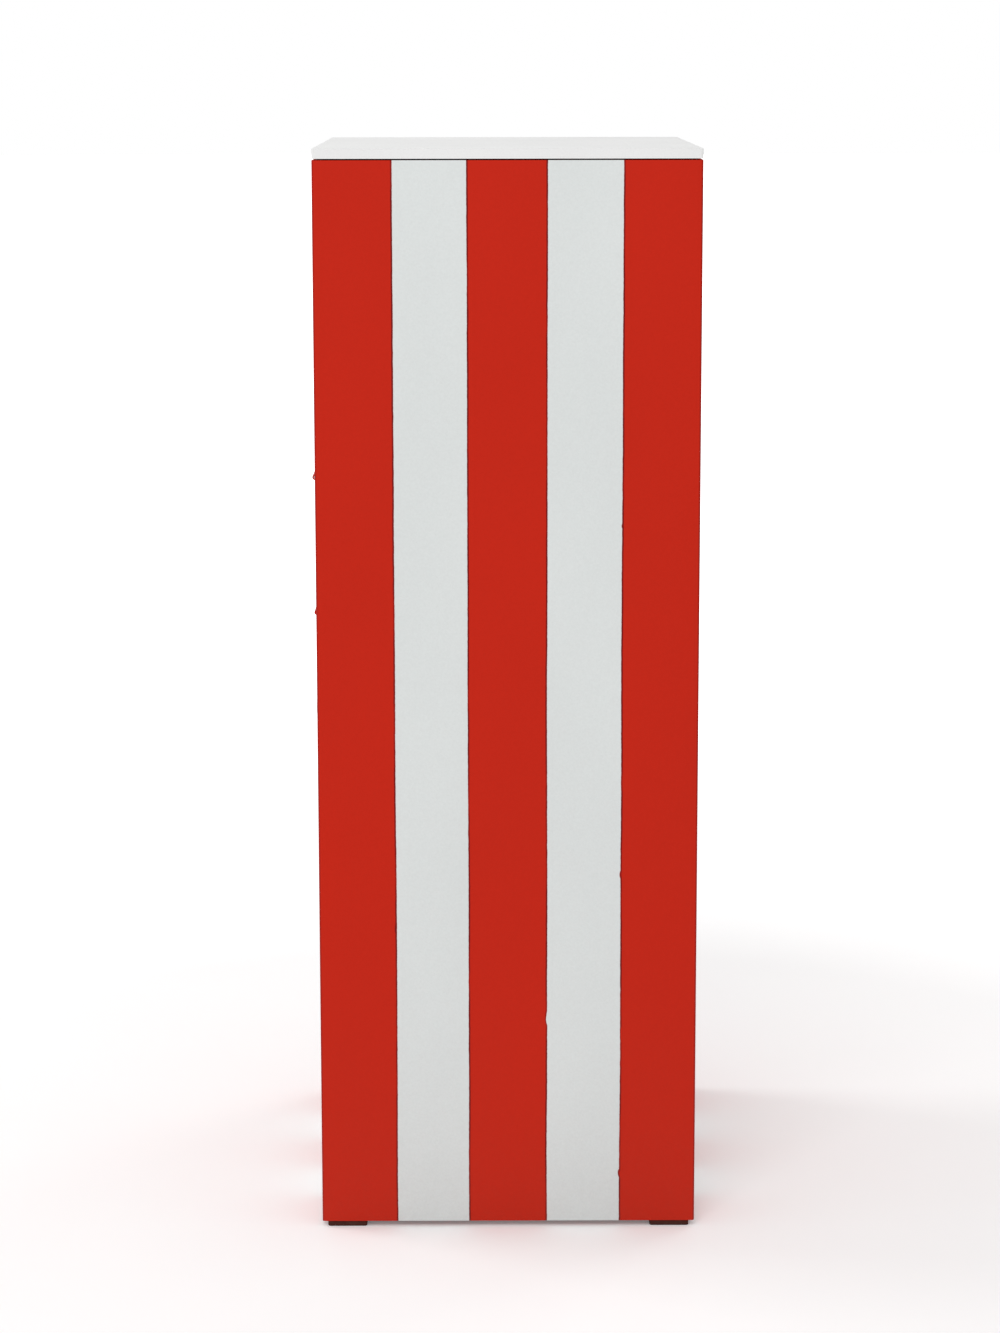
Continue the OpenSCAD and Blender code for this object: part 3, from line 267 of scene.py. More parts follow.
def build_grime():
    """Road dust and splash: thick by the ground, with faint runs higher up."""
    group, given, out = new_group(
        "grime",
        [("Coords", VECTOR, None), ("Ground", FLOAT, 0.006), ("Reach", FLOAT, 0.16)],
        [("Mask", FLOAT)],
    )
    height = axes(group, given["Coords"])[2]
    rise = over(group, minus(group, height, given["Ground"]), given["Reach"])
    fall = minus(group, 1.0, rise, clamp=True)
    speckle = noise(group, given["Coords"], 190.0, 4.0, 0.65)
    runs = noise(group, scaled(group, given["Coords"], (60, 60, 2.2)), 1.0, 2.0)
    spots = ramp(group, speckle, 0.45, 0.72)
    low = times(group, power(group, fall, 2.2), plus(group, times(group, spots, 0.35), 0.5))
    streak = times(group, ramp(group, runs, 0.6, 0.85), 0.05)
    group.links.new(plus(group, low, streak, clamp=True), out["Mask"])
    return group


def build_brushed():
    """Drawn or turned metal: long fine scratches along one axis, and soft handling marks."""
    group, given, out = new_group(
        "brushed",
        [("Coords", VECTOR, None), ("Stretch", VECTOR, (1, 1, 1)), ("Scale", FLOAT, 900.0)],
        [("Height", FLOAT), ("Marks", FLOAT)],
    )
    lines = add(group, "ShaderNodeVectorMath", {0: given["Coords"], 1: given["Stretch"]},
                operation="MULTIPLY").outputs[0]
    scratch = noise(group, lines, given["Scale"], 3.0, 0.7)
    broad = noise(group, given["Coords"], 24.0, 3.0, 0.5)
    specks = noise(group, given["Coords"], 210.0, 4.0, 0.7)
    marks = plus(group, times(group, broad, 0.72), times(group, specks, 0.28))
    group.links.new(scratch, out["Height"])
    group.links.new(marks, out["Marks"])
    return group


GROUPS = {
    "paint_film": build_paint_film(),
    "edge_wear": build_edge_wear(),
    "grime": build_grime(),
    "brushed": build_brushed(),
}


def use_group(tree, name, inputs):
    return add(tree, "ShaderNodeGroup", inputs, node_tree=GROUPS[name]).outputs


def start_material(name, **shader):
    """A material with its Principled shader's own sockets set, its tree and its Object coordinates."""
    material = bpy.data.materials.new(name)
    material.use_nodes = True
    tree = material.node_tree
    principled = tree.nodes["Principled BSDF"]
    for key, value in shader.items():
        principled.inputs[key.replace("_", " ")].default_value = value
    coords = add(tree, "ShaderNodeTexCoord").outputs["Object"]
    return material, tree, principled, coords


def wear_mask(tree, coords, amount):
    given = {"Coords": coords, "Edge": edge_mark(tree), "Amount": amount}
    return use_group(tree, "edge_wear", given)["Mask"]


def dirt_mask(tree, coords, reach):
    return use_group(tree, "grime", {"Coords": coords, "Reach": reach})["Mask"]


def paint_film(tree, coords, colour, grain=430.0, drift=0.08):
    return use_group(tree, "paint_film", {"Coords": coords, "Color": colour, "Grain": grain, "Drift": drift})


def bump_into(tree, principled, height, distance, strength=1.0):
    made = add(tree, "ShaderNodeBump", {"Height": height, "Distance": distance, "Strength": strength})
    tree.links.new(made.outputs[0], principled.inputs["Normal"])


def edge_mark(tree):
    return add(tree, "ShaderNodeAttribute", attribute_name="edge").outputs["Fac"]


# ---------------- materials

RED = (0.580, 0.0170, 0.0042, 1)
# dark red for the line by each stripe's edge, and for the painted shade on the folds
RED_LINE_AND_FOLD_SHADE = (0.150, 0.004, 0.006, 1)
WHITE = (0.757, 0.786, 0.778, 1)
BOX_RED = (0.50, 0.0155, 0.005, 1)
PRIMER = (0.10, 0.045, 0.035, 1)
RUST = (0.10, 0.03, 0.012, 1)
DUST = (0.17, 0.12, 0.09, 1)

# where the stripes part, as shares of half a face's width
STRIPE_EDGES = (-0.5905, -0.2100, 0.2065, 0.5940)


def build_stripes():
    """White stripes on red. Each face is split across its own width, and the hand-masked edges wander.

    Stripe is 1 on the white, Line is 1 on the ridge that the tape left, and the last output is 1 on the
    folds, where it paints shade for the faces bending away from the light.
    """
    group, given, out = new_group("stripes", [("Coords", VECTOR, None)],
                                  [("Stripe", FLOAT), ("Line", FLOAT), ("Corner", FLOAT)])
    coords = given["Coords"]
    apart = axes(group, coords)
    across_door = over(group, apart[0], HALF_W)
    across_side = over(group, apart[1], HALF_D)
    door_reach = size_of(group, across_door)
    side_reach = size_of(group, across_side)
    on_side = above(group, door_reach, side_reach)
    across = add(group, "ShaderNodeMix", {0: on_side, 2: across_door, 3: across_side}).outputs[0]
    outside = above(group, larger(group, door_reach, side_reach), 0.9965)
    slow = times(group, minus(group, noise(group, coords, 4.5, 2.0), 0.5), 0.0110)
    quick = times(group, minus(group, noise(group, coords, 110.0, 3.0, 0.7), 0.5), 0.0050)
    nicks = times(group, ramp(group, noise(group, coords, 30.0, 1.0), 0.74, 0.80), 0.009)
    place = plus(group, across, plus(group, plus(group, slow, quick), nicks))
    stripe, line = None, None
    for i, edge in enumerate(STRIPE_EDGES):
        step = ramp(group, place, edge - 0.001, edge + 0.001)
        towards_red = -1 if i % 2 == 0 else 1
        offset = size_of(group, minus(group, place, edge + towards_red * 0.0042))
        ridge = ramp(group, offset, 0.0030, 0.0052, 1.0, 0.0)
        stripe = step if stripe is None else (plus if i % 2 == 0 else minus)(group, stripe, step)
        line = ridge if line is None else larger(group, line, ridge)
    broken = ramp(group, noise(group, coords, 17.0, 3.0), 0.30, 0.52, 0.45, 1.0)
    thin = times(group, times(group, line, broken), outside, clamp=True)
    # painted shade: darker on the folds, where each face bends away from the light
    corner = ramp(group, smaller(group, door_reach, side_reach), 0.9880, 0.9975)
    group.links.new(times(group, stripe, outside, clamp=True), out["Stripe"])
    group.links.new(thin, out["Line"])
    group.links.new(corner, out["Corner"])
    return group


GROUPS["stripes"] = build_stripes()


def cabinet_paint_material():
    """Red gloss with white stripes over it, painted shade darkening the folds, worn on the rounded edges and
    dusty by the ground.
    """
    material, tree, shader, coords = start_material("cabinet_paint", Specular_IOR_Level=0.12)
    marks = use_group(tree, "stripes", {"Coords": coords})
    # the folds darkened with painted shade: the red towards dark red, the white towards grey
    red = mix_colour(tree, times(tree, marks["Corner"], 0.65), RED, RED_LINE_AND_FOLD_SHADE)
    white = mix_colour(tree, times(tree, marks["Corner"], 0.12), WHITE, (0.4, 0.4, 0.4, 1))
    base = mix_colour(tree, marks["Stripe"], red, white)
    lined = mix_colour(tree, times(tree, marks["Line"], 0.9), base, RED_LINE_AND_FOLD_SHADE)
    film = paint_film(tree, coords, lined, drift=0.10)
    worn = wear_mask(tree, coords, 0.30)
    dirt = dirt_mask(tree, coords, 0.35)
    colour = mix_colour(tree, times(tree, dirt, 0.11), film["Color"], DUST)
    tree.links.new(mix_colour(tree, worn, colour, PRIMER), shader.inputs["Base Color"])
    rough = ramp(tree, film["Gloss"], 0.3, 0.7, 0.42, 0.56)
    tree.links.new(plus(tree, rough, times(tree, dirt, 0.3), clamp=True), shader.inputs["Roughness"])
    layer = plus(tree, times(tree, marks["Stripe"], 0.7), times(tree, marks["Line"], 0.8))
    height = minus(tree, plus(tree, film["Height"], layer), worn)
    bump_into(tree, shader, height, 0.00012)
    return material


def plain_paint_material(name, colour, grain=430.0, spec=0.25, rough=(0.36, 0.5), wear=0.45, depth=0.0001,
                         chip=PRIMER):
    """One colour of paint with the shared film, worn edges and a little dirt."""
    material, tree, shader, coords = start_material(name, Specular_IOR_Level=spec)
    film = paint_film(tree, coords, colour, grain)
    worn = wear_mask(tree, coords, wear)
    dirt = dirt_mask(tree, coords, 0.08)
    dirty = mix_colour(tree, times(tree, dirt, 0.35), film["Color"], DUST)
    tree.links.new(mix_colour(tree, worn, dirty, chip), shader.inputs["Base Color"])
    tree.links.new(ramp(tree, film["Gloss"], 0.3, 0.7, *rough), shader.inputs["Roughness"])
    bump_into(tree, shader, minus(tree, film["Height"], worn), depth)
    return material


def metal_material(name, colour, tarnish, stretch=(1, 1, 0.04), rough=(0.22, 0.42)):
    """Bare or plated metal: fine drawn lines, tarnish in patches and polish on the edges."""
    material, tree, shader, coords = start_material(name, Metallic=1.0)
    lines = use_group(tree, "brushed", {"Coords": coords, "Stretch": stretch})
    patches = ramp(tree, lines["Marks"], 0.40, 0.75)
    polished = times(tree, edge_mark(tree), 0.6)
    dulled = minus(tree, times(tree, patches, 0.75), polished, clamp=True)
    tree.links.new(mix_colour(tree, dulled, colour, tarnish), shader.inputs["Base Color"])
    rough_base = ramp(tree, lines["Height"], 0.3, 0.7, *rough)
    tree.links.new(plus(tree, rough_base, times(tree, dulled, 0.15)), shader.inputs["Roughness"])
    bump_into(tree, shader, lines["Height"], 0.00002)
    return material


def moulded_material(name, colour, rough=(0.3, 0.5), grain=1400.0, depth=0.00003, spec=0.4, dusty=0.12):
    """Rubber, moulding or glaze: a fine skin, dull handling patches and dust."""
    material, tree, shader, coords = start_material(name, Specular_IOR_Level=spec)
    skin = noise(tree, coords, grain, 3.0, 0.6)
    patches = noise(tree, coords, 30.0, 3.0)
    dust = times(tree, ramp(tree, patches, 0.45, 0.75), dusty)
    lighter = tuple(min(1.0, c * 1.12 + 0.008) for c in colour[:3]) + (1,)
    body = mix_colour(tree, ramp(tree, skin, 0.35, 0.65), colour, lighter)
    tree.links.new(mix_colour(tree, dust, body, DUST), shader.inputs["Base Color"])
    tree.links.new(ramp(tree, patches, 0.35, 0.65, *rough), shader.inputs["Roughness"])
    bump_into(tree, shader, skin, depth)
    return material


def glass_material():
    """Clear pane with the faintest smears in its gloss."""
    material, tree, shader, coords = start_material(
        "glass", Transmission_Weight=1.0, IOR=1.5, Base_Color=(0.96, 0.985, 0.98, 1))
    smear = noise(tree, scaled(tree, coords, (1, 1, 0.3)), 60.0, 3.0)
    tree.links.new(ramp(tree, smear, 0.4, 0.8, 0.01, 0.07), shader.inputs["Roughness"])
    return material


def winding_material():
    """Enamelled wire wound on a bobbin, one turn beside the next, with painted shade in the grooves between
    the turns.
    """
    material, tree, shader, coords = start_material("coil", Specular_IOR_Level=0.5, Roughness=0.35)
    across = axes(tree, coords)[0]
    turns = sine(tree, times(tree, across, 2 * math.pi / 0.0006))
    patches = noise(tree, coords, 120.0, 2.0)
    tone = mix_colour(tree, ramp(tree, patches, 0.35, 0.65), (0.30, 0.075, 0.035, 1), (0.42, 0.13, 0.06, 1))
    # painted shade: dark brown in the grooves between the turns of wire
    shade = mix_colour(tree, ramp(tree, turns, -1.0, 0.2), (0.10, 0.03, 0.02, 1), tone)
    tree.links.new(shade, shader.inputs["Base Color"])
    bump_into(tree, shader, turns, 0.00012)
    return material


def enamel_material():
    """Vitreous enamel sign: white ground, red border and a plain arrow and flame, with no words."""
    material, tree, shader, coords = start_material(
        "enamel", Specular_IOR_Level=0.55, Coat_Weight=0.5, Coat_Roughness=0.06)
    low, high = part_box("instruction_plate")
    middle = (low + high) / 2
    half = (high - low) / 2
    apart = axes(tree, coords)
    x = minus(tree, apart[0], middle.x)
    z = minus(tree, apart[2], middle.z)
    inset_x = minus(tree, half.x, size_of(tree, x))
    inset_z = minus(tree, half.z, size_of(tree, z))
    inset = smaller(tree, inset_x, inset_z)
    border = times(tree, above(tree, inset, 0.0045), below(tree, inset, 0.0085))
    flame = flame_mask(tree, x, z)
    arrow = arrow_mask(tree, x, z)
    red_part = larger(tree, border, larger(tree, flame, arrow), clamp=True)
    cloud = noise(tree, coords, 40.0, 3.0)
    ground = mix_colour(tree, ramp(tree, cloud, 0.3, 0.7), (0.80, 0.79, 0.75, 1), (0.86, 0.85, 0.82, 1))
    inked = mix_colour(tree, red_part, ground, (0.50, 0.025, 0.018, 1))
    chips = wear_mask(tree, coords, 0.7)
    tree.links.new(mix_colour(tree, chips, inked, (0.03, 0.03, 0.035, 1)), shader.inputs["Base Color"])
    tree.links.new(ramp(tree, cloud, 0.3, 0.7, 0.10, 0.2), shader.inputs["Roughness"])
    bump_into(tree, shader, plus(tree, cloud, times(tree, red_part, 0.25)), 0.00012)
    return material


def tongue_mask(tree, x, z, middle, foot, tall, wide, lean):
    """One tongue of flame: round at its foot and drawn up to a leaning point."""
    height = over(tree, minus(tree, z, foot), tall)
    bend = times(tree, sine(tree, times(tree, height, 5.2)), lean)
    taper = minus(tree, 1.0, height, clamp=True)
    swell = root(tree, times(tree, height, taper, clamp=True))
    width = times(tree, times(tree, swell, power(tree, taper, 0.4)), wide)
    off = size_of(tree, minus(tree, minus(tree, x, middle), bend))
    return below(tree, off, width)


def flame_mask(tree, x, z):
    """A plain flame left of the middle: a tall tongue between two short ones."""
    tall = tongue_mask(tree, x, z, -0.042, -0.030, 0.062, 0.040, 0.0045)
    left = tongue_mask(tree, x, z, -0.053, -0.028, 0.043, 0.024, -0.0035)
    right = tongue_mask(tree, x, z, -0.031, -0.028, 0.036, 0.023, -0.0040)
    return larger(tree, tall, larger(tree, left, right))


def arrow_mask(tree, x, z):
    """A plain arrow that points down to the flap, right of the middle."""
    local_x = size_of(tree, minus(tree, x, 0.042))
    stem = times(tree, below(tree, local_x, 0.008), above(tree, z, -0.004))
    stem = times(tree, stem, below(tree, z, 0.030))
    reach = plus(tree, z, 0.032)
    head = below(tree, local_x, times(tree, reach, 0.8))
    head = times(tree, head, below(tree, z, -0.003))
    return larger(tree, stem, head)


def flap_material():
    """The lift flap's red paint with a plain white arrow that points up."""
    material, tree, shader, coords = start_material("flap_paint", Specular_IOR_Level=0.2)
    low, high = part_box("call_flap")
    apart = axes(tree, coords)
    x = size_of(tree, apart[0])
    z = minus(tree, apart[2], (low.z + high.z) / 2)
    stem = times(tree, below(tree, x, 0.011), below(tree, z, 0.004))
    stem = times(tree, stem, above(tree, z, -0.036))
    slope = times(tree, minus(tree, 0.038, z), 0.82)
    head = times(tree, below(tree, x, slope), above(tree, z, 0.003))
    front = below(tree, apart[1], low.y + 0.0038)
    arrow = times(tree, larger(tree, stem, head), front)
    base = mix_colour(tree, arrow, BOX_RED, WHITE)
    film = paint_film(tree, coords, base)
    worn = wear_mask(tree, coords, 0.5)
    tree.links.new(mix_colour(tree, worn, film["Color"], PRIMER), shader.inputs["Base Color"])
    tree.links.new(ramp(tree, film["Gloss"], 0.3, 0.7, 0.34, 0.5), shader.inputs["Roughness"])
    height = minus(tree, plus(tree, film["Height"], times(tree, arrow, 0.6)), worn)
    bump_into(tree, shader, height, 0.0001)
    return material


def floor_material():
    """Pale paper that goes over into the white of the room, further from the box."""
    material, tree, shader, coords = start_material("floor", Specular_IOR_Level=0.1)
    cloud = noise(tree, coords, 3.0, 4.0)
    pale = mix_colour(tree, cloud, (0.90, 0.90, 0.90, 1), (0.93, 0.93, 0.93, 1))
    tree.links.new(pale, shader.inputs["Base Color"])
    seen = add(tree, "ShaderNodeLightPath").outputs["Is Camera Ray"]
    away = add(tree, "ShaderNodeVectorMath", {0: coords}, operation="LENGTH").outputs["Value"]
    glow = ramp(tree, away, 0.9, 3.2, 0.15, 1.0)
    shader.inputs["Emission Color"].default_value = (1, 1, 1, 1)
    tree.links.new(times(tree, seen, glow), shader.inputs["Emission Strength"])
    tree.links.new(ramp(tree, cloud, 0.3, 0.7, 0.6, 0.75), shader.inputs["Roughness"])
    return material


MATERIALS = {
    "cabinet_paint": cabinet_paint_material(),
    "lid_paint": plain_paint_material("lid_paint", (0.87, 0.87, 0.865, 1), grain=620.0, spec=0.15,
                                      rough=(0.45, 0.55), wear=0.1, depth=0.00006),
    "red_paint": plain_paint_material("red_paint", BOX_RED, spec=0.2, wear=0.42),
    # the feet's red paint, dirty and darkened to near black: partly dirt, partly painted shade for the
    # shadow under the box
    "foot_paint": plain_paint_material("foot_paint", (0.050, 0.0040, 0.0030, 1), grain=300.0, spec=0.03,
                                       rough=(0.6, 0.75), wear=0.4, depth=0.00025, chip=RUST),
    "zinc": metal_material("zinc", (0.66, 0.67, 0.66, 1), (0.50, 0.51, 0.51, 1),
                           stretch=(1, 1, 0.12), rough=(0.34, 0.5)),
    "steel": metal_material("steel", (0.56, 0.56, 0.57, 1), (0.36, 0.345, 0.33, 1)),
    "brass": metal_material("brass", (0.76, 0.545, 0.25, 1), (0.60, 0.40, 0.165, 1),
                            stretch=(1, 1, 0.05), rough=(0.24, 0.38)),
    "gunmetal": metal_material("gunmetal", (0.50, 0.30, 0.13, 1), (0.34, 0.19, 0.08, 1),
                               stretch=(1, 1, 1), rough=(0.28, 0.42)),
    "seal_rubber": moulded_material("seal_rubber", (0.022, 0.022, 0.023, 1), rough=(0.6, 0.8), grain=700.0,
                                    depth=0.00006, spec=0.3),
    "moulding": moulded_material("moulding", (0.020, 0.017, 0.015, 1), rough=(0.16, 0.34), grain=1600.0,
                                 depth=0.00001, spec=0.5),
    "panel_paint": plain_paint_material("panel_paint", (0.72, 0.66, 0.50, 1), grain=380.0, spec=0.35,
                                        rough=(0.35, 0.5), wear=0.3, depth=0.00008),
    "ceramic": moulded_material("ceramic", (0.86, 0.845, 0.79, 1), rough=(0.08, 0.2), grain=160.0,
                                depth=0.00004, spec=0.6, dusty=0.03),
    "enamel": enamel_material(),
    "coil": winding_material(),
    "glass": glass_material(),
    "cable": moulded_material("cable", (0.018, 0.018, 0.020, 1), rough=(0.4, 0.6), grain=1100.0,
                              depth=0.00004),
    "wire_red": moulded_material("wire_red", (0.36, 0.022, 0.016, 1), rough=(0.35, 0.5), grain=1100.0),
    "wire_grey": moulded_material("wire_grey", (0.30, 0.30, 0.28, 1), rough=(0.35, 0.5), grain=1100.0),
    "flap_paint": flap_material(),
}

# ---------------- mesh helpers


def to_scene(obj):
    bpy.context.scene.collection.objects.link(obj)
    return obj


def mesh_object(name, vertices, faces):
    mesh = bpy.data.meshes.new(name)
    mesh.from_pydata([tuple(v) for v in vertices], [], faces)
    mesh.update()
    return to_scene(bpy.data.objects.new(name, mesh))


def stand(obj, point, aim):
    """Moves a part that was made about Z so that it stands at point, in mm, along aim."""
    turn = Vector(aim).to_track_quat("Z", "Y").to_matrix().to_4x4()
    obj.data.transform(Matrix.Translation(Vector(point) * MM) @ turn)
    return obj


def turned(name, outline, count=32):
    """A turned part about Z from its outline of (radius, height) pairs in mm, from foot to tip.

    An outline that ends where it began makes a ring.
    """
    is_ring = outline[0] == outline[-1]
    vertices, faces, rings = [], [], []
    for radius, height in outline[:-1] if is_ring else outline:
        first = len(vertices)
        if radius < 1e-6:
            vertices.append(Vector((0, 0, height)) * MM)
            rings.append([first] * count)
        else:
            for i in range(count):
                angle = math.tau * i / count
                vertices.append(Vector((radius * math.cos(angle), radius * math.sin(angle), height)) * MM)
            rings.append(list(range(first, first + count)))
    if is_ring:
        rings.append(rings[0])
    for low, high in zip(rings, rings[1:]):
        for i in range(count):
            j = (i + 1) % count
            faces.append(list(dict.fromkeys((low[i], low[j], high[j], high[i]))))
    return smoothed(mesh_object(name, vertices, faces))


def smoothed(obj, sharp=35):
    obj.data.shade_smooth()
    obj.data.set_sharp_from_angle(angle=math.radians(sharp))
    return obj


def joined(name, parts):
    """One object from several, which are used up."""
    work = bmesh.new()
    for part in parts:
        work.from_mesh(part.data)
        bpy.data.objects.remove(part)
    mesh = bpy.data.meshes.new(name)
    work.to_mesh(mesh)
    work.free()
    return to_scene(bpy.data.objects.new(name, mesh))


def blocks(name, boxes, width=0.3):
    """Square blocks with rounded edges, each given by its low and high corner in mm."""
    vertices, faces = [], []
    for low, high in boxes:
        first = len(vertices)
        for z in (low[2], high[2]):
            for x, y in ((low[0], low[1]), (high[0], low[1]), (high[0], high[1]), (low[0], high[1])):
                vertices.append(Vector((x, y, z)) * MM)
        for face in ((0, 3, 2, 1), (4, 5, 6, 7), (0, 1, 5, 4), (1, 2, 6, 5), (2, 3, 7, 6), (3, 0, 4, 7)):
            faces.append([first + i for i in face])
    return rounded(mesh_object(name, vertices, faces), width * MM)


def cut(obj, low, high):
    """Takes the box between two corners, in mm, out of the object."""
    tool = blocks("cutter", [(low, high)], 0.01)
    modifier = obj.modifiers.new("cut", "BOOLEAN")
    modifier.operation = "DIFFERENCE"
    modifier.solver = "EXACT"
    modifier.object = tool
    made = settle(obj)
    bpy.data.objects.remove(tool)
    return smoothed(made)


def rounded_path(corners, radius, steps=6):
    """Points in mm along straight runs, each corner taken on a curve."""
    points = [Vector(corners[0])]
    for before, corner, after in zip(corners, corners[1:], corners[2:]):
        corner = Vector(corner)
        into = corner - Vector(before)
        away = Vector(after) - corner
        reach = min(radius, into.length / 2, away.length / 2)
        start = corner - into.normalized() * reach
        end = corner + away.normalized() * reach
        for i in range(steps + 1):
            t = i / steps
            points.append(start.lerp(corner, t).lerp(corner.lerp(end, t), t))
    points.append(Vector(corners[-1]))
    return points


def spread(points, step):
    """The same path with a point at least every step millimetres."""
    out = [points[0]]
    for a, b in zip(points, points[1:]):
        count = max(1, int((b - a).length / step))
        out += [a.lerp(b, (i + 1) / count) for i in range(count)]
    return out


def frames(path):
    """(point, ahead, side, up) along a path, without twist."""
    side = None
    out = []
    for i, point in enumerate(path):
        ahead = (path[min(i + 1, len(path) - 1)] - path[max(i - 1, 0)]).normalized()
        side = ahead.orthogonal().normalized() if side is None else side
        side = (side - ahead * side.dot(ahead)).normalized()
        out.append((point, ahead, side, ahead.cross(side)))
    return out


def wires(name, paths, radius, count=8):
    """Round wires along paths of points in mm."""
    vertices, faces = [], []
    for path in paths:
        first = len(vertices)
        for point, _, side, up in frames(path):
            for i in range(count):
                angle = math.tau * i / count
                vertices.append((point + (side * math.cos(angle) + up * math.sin(angle)) * radius) * MM)
        rings = len(path)
        for r in range(rings - 1):
            for i in range(count):
                j = (i + 1) % count
                low, high = first + r * count, first + (r + 1) * count
                faces.append([low + i, low + j, high + j, high + i])
        faces.append([first + i for i in reversed(range(count))])
        faces.append([first + (rings - 1) * count + i for i in range(count)])
    return smoothed(mesh_object(name, vertices, faces), 50)


def disc(name, radius, count):
    turn = [math.tau * i / count for i in range(count)]
    rim = [(radius * math.cos(a), radius * math.sin(a), 0.0) for a in turn]
    return mesh_object(name, rim, [list(range(count))])


def settle(obj, name=None):
    """The object as a plain mesh with its modifiers taken up. The first object is removed."""
    bpy.context.view_layer.update()
    seen = obj.evaluated_get(bpy.context.evaluated_depsgraph_get())
    mesh = bpy.data.meshes.new_from_object(seen)
    name = name or obj.name
    bpy.data.objects.remove(obj)
    mesh.name = name
    return to_scene(bpy.data.objects.new(name, mesh))


def face_values(mesh, name, kind=np.float64, size=1):
    """Every face's value of one name, or size values from each, in one row."""
    values = np.zeros(len(mesh.polygons) * size, kind)
    mesh.polygons.foreach_get(name, values)
    return values


def square_normals(mesh, is_rounding):
    """Each corner of a flat face takes that face's normal, and the rounding bends from one to the next."""
    corners = np.zeros(len(mesh.loops), np.int32)
    mesh.loops.foreach_get("vertex_index", corners)
    face_of = np.repeat(np.arange(len(mesh.polygons)), face_values(mesh, "loop_total", np.int32))
    normals = face_values(mesh, "normal", size=3).reshape(-1, 3)
    pull = (normals * face_values(mesh, "area")[:, None])[face_of]

    def summed(chosen):
        sides = [np.bincount(corners[chosen], pull[chosen, axis], len(mesh.vertices)) for axis in range(3)]
        return np.stack(sides, axis=1)

    flats = summed(~is_rounding[face_of])
    has_flat = np.linalg.norm(flats, axis=1)[:, None] > 1e-14
    total = np.where(has_flat, flats, summed(is_rounding[face_of]))
    length = np.linalg.norm(total, axis=1)[:, None]
    mesh.normals_split_custom_set_from_vertices(total / np.maximum(length, 1e-20))


def mark_edges(mesh):
    """Turns the faces that the bevel made, which are in slot 1, into the edge attribute."""
    is_rounding = face_values(mesh, "material_index", np.int32) == 1
    mark = mesh.attributes.new("edge", "FLOAT", "FACE")
    mark.data.foreach_set("value", is_rounding.astype(np.float32))
    mesh.polygons.foreach_set("material_index", np.zeros(len(mesh.polygons), np.int32))
    square_normals(mesh, is_rounding)


def rounded(obj, width, segments=3, sharp=32):
    """Rounds the object's sharp edges, keeps its flats flat, and marks the rounding for wear."""
    mesh = obj.data
    mesh.materials.clear()
    for _ in range(2):
        mesh.materials.append(MATERIALS["zinc"])
    for polygon in mesh.polygons:
        polygon.use_smooth = True
    bevel = obj.modifiers.new("round", "BEVEL")
    bevel.width = width
    bevel.segments = segments
    bevel.limit_method = "ANGLE"
    bevel.angle_limit = math.radians(sharp)
    bevel.material = 1
    made = settle(obj)
    mark_edges(made.data)
    return made


def node_copy(node):
    """A merged copy of a CAD node's mesh with its flat faces made whole."""
    work = bmesh.new()
    work.from_mesh(frame["nodes"][node].data)
    bmesh.ops.remove_doubles(work, verts=work.verts, dist=2e-6)
    bmesh.ops.dissolve_limit(work, angle_limit=math.radians(0.4), verts=work.verts, edges=work.edges)
    mesh = bpy.data.meshes.new(node)
    work.to_mesh(mesh)
    work.free()
    return to_scene(bpy.data.objects.new(node + "_finish", mesh))


def hand_over(piece, body, slot, *nodes, material=None):
    """Gives a finished piece its material and its body, and hides the CAD nodes that it stands for."""
    piece.data.materials.clear()
    piece.data.materials.append(MATERIALS[material or slot])
    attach(piece, body)
    if nodes:
        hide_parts(*nodes)
    return piece


def dress(node, width=0.4, segments=3, sharp=32, material=None):
    """Replaces a CAD node by its own shape with rounded edges. width is in millimetres."""
    piece = rounded(node_copy(node), width * MM, segments, sharp)
    return hand_over(piece, BODY_OF[node], SLOT_OF[node], node, material=material)


make_camera()
make_studio()

# ---------------- pieces that keep their CAD shape

# the rounding's width on each, in mm
EDGE_WIDTHS = {
    "shell": 0.35, "front_frame": 0.5, "top_frame": 0.3, "bottom_frame": 0.3, "base_plate": 0.3, "feet": 0.8,
    "foot_bolts": 0.4, "lid": 0.85, "lid_gasket": 0.3, "cable_gland": 0.6, "frame_hinge_leaves": 0.35,
    "hinge_pins": 0.4, "panel_brackets": 0.4, "mechanism_panel": 0.5, "movement_back_plate": 0.3,
    "movement_front_plate": 0.3, "lever_pin": 0.3, "contact_block": 0.5, "contact_springs": 0.1,
    "bell_frame": 0.5, "bell_gong": 0.5, "key_base": 0.8, "key_fittings": 0.3, "terminal_strip": 0.4,
    "terminal_block": 1.5, "loom_clips": 0.8, "winding_key": 0.5, "door_panel": 0.5, "door_stiffeners": 0.4,
    "door_seal": 0.5, "door_hinge_leaves": 0.35, "lock_body": 0.5, "lock_nut": 0.4, "call_frame": 0.9,
    "call_box": 0.5, "call_glass": 0.3, "glass_gasket": 0.4, "button_bush": 0.3, "flap_pin": 0.3,
    "instruction_plate": 0.4, "lock_plug": 0.4, "lock_cam": 0.5, "trip_lever": 0.4, "great_wheel": 0.12,
    "code_arbor": 0.12, "fly": 0.15, "bell_hammer": 0.3, "key_lever": 0.5,
}
for node_name, edge_width in EDGE_WIDTHS.items():
    dress(node_name, edge_width)
dress("call_flap", 0.45, material="flap_paint")
dress("code_wheel", 0.3, material="gunmetal")
dress("contact_lever", 0.3, material="gunmetal")

# ---------------- trees that repeat a part


def end_tree(tree, out, geometry, material):
    """The end that every tree has: real geometry, with its material."""
    real = add(tree, "GeometryNodeRealizeInstances", {"Geometry": geometry}).outputs[0]
    done = add(tree, "GeometryNodeSetMaterial", {"Geometry": real, "Material": material}).outputs[0]
    tree.links.new(done, out["Geometry"])


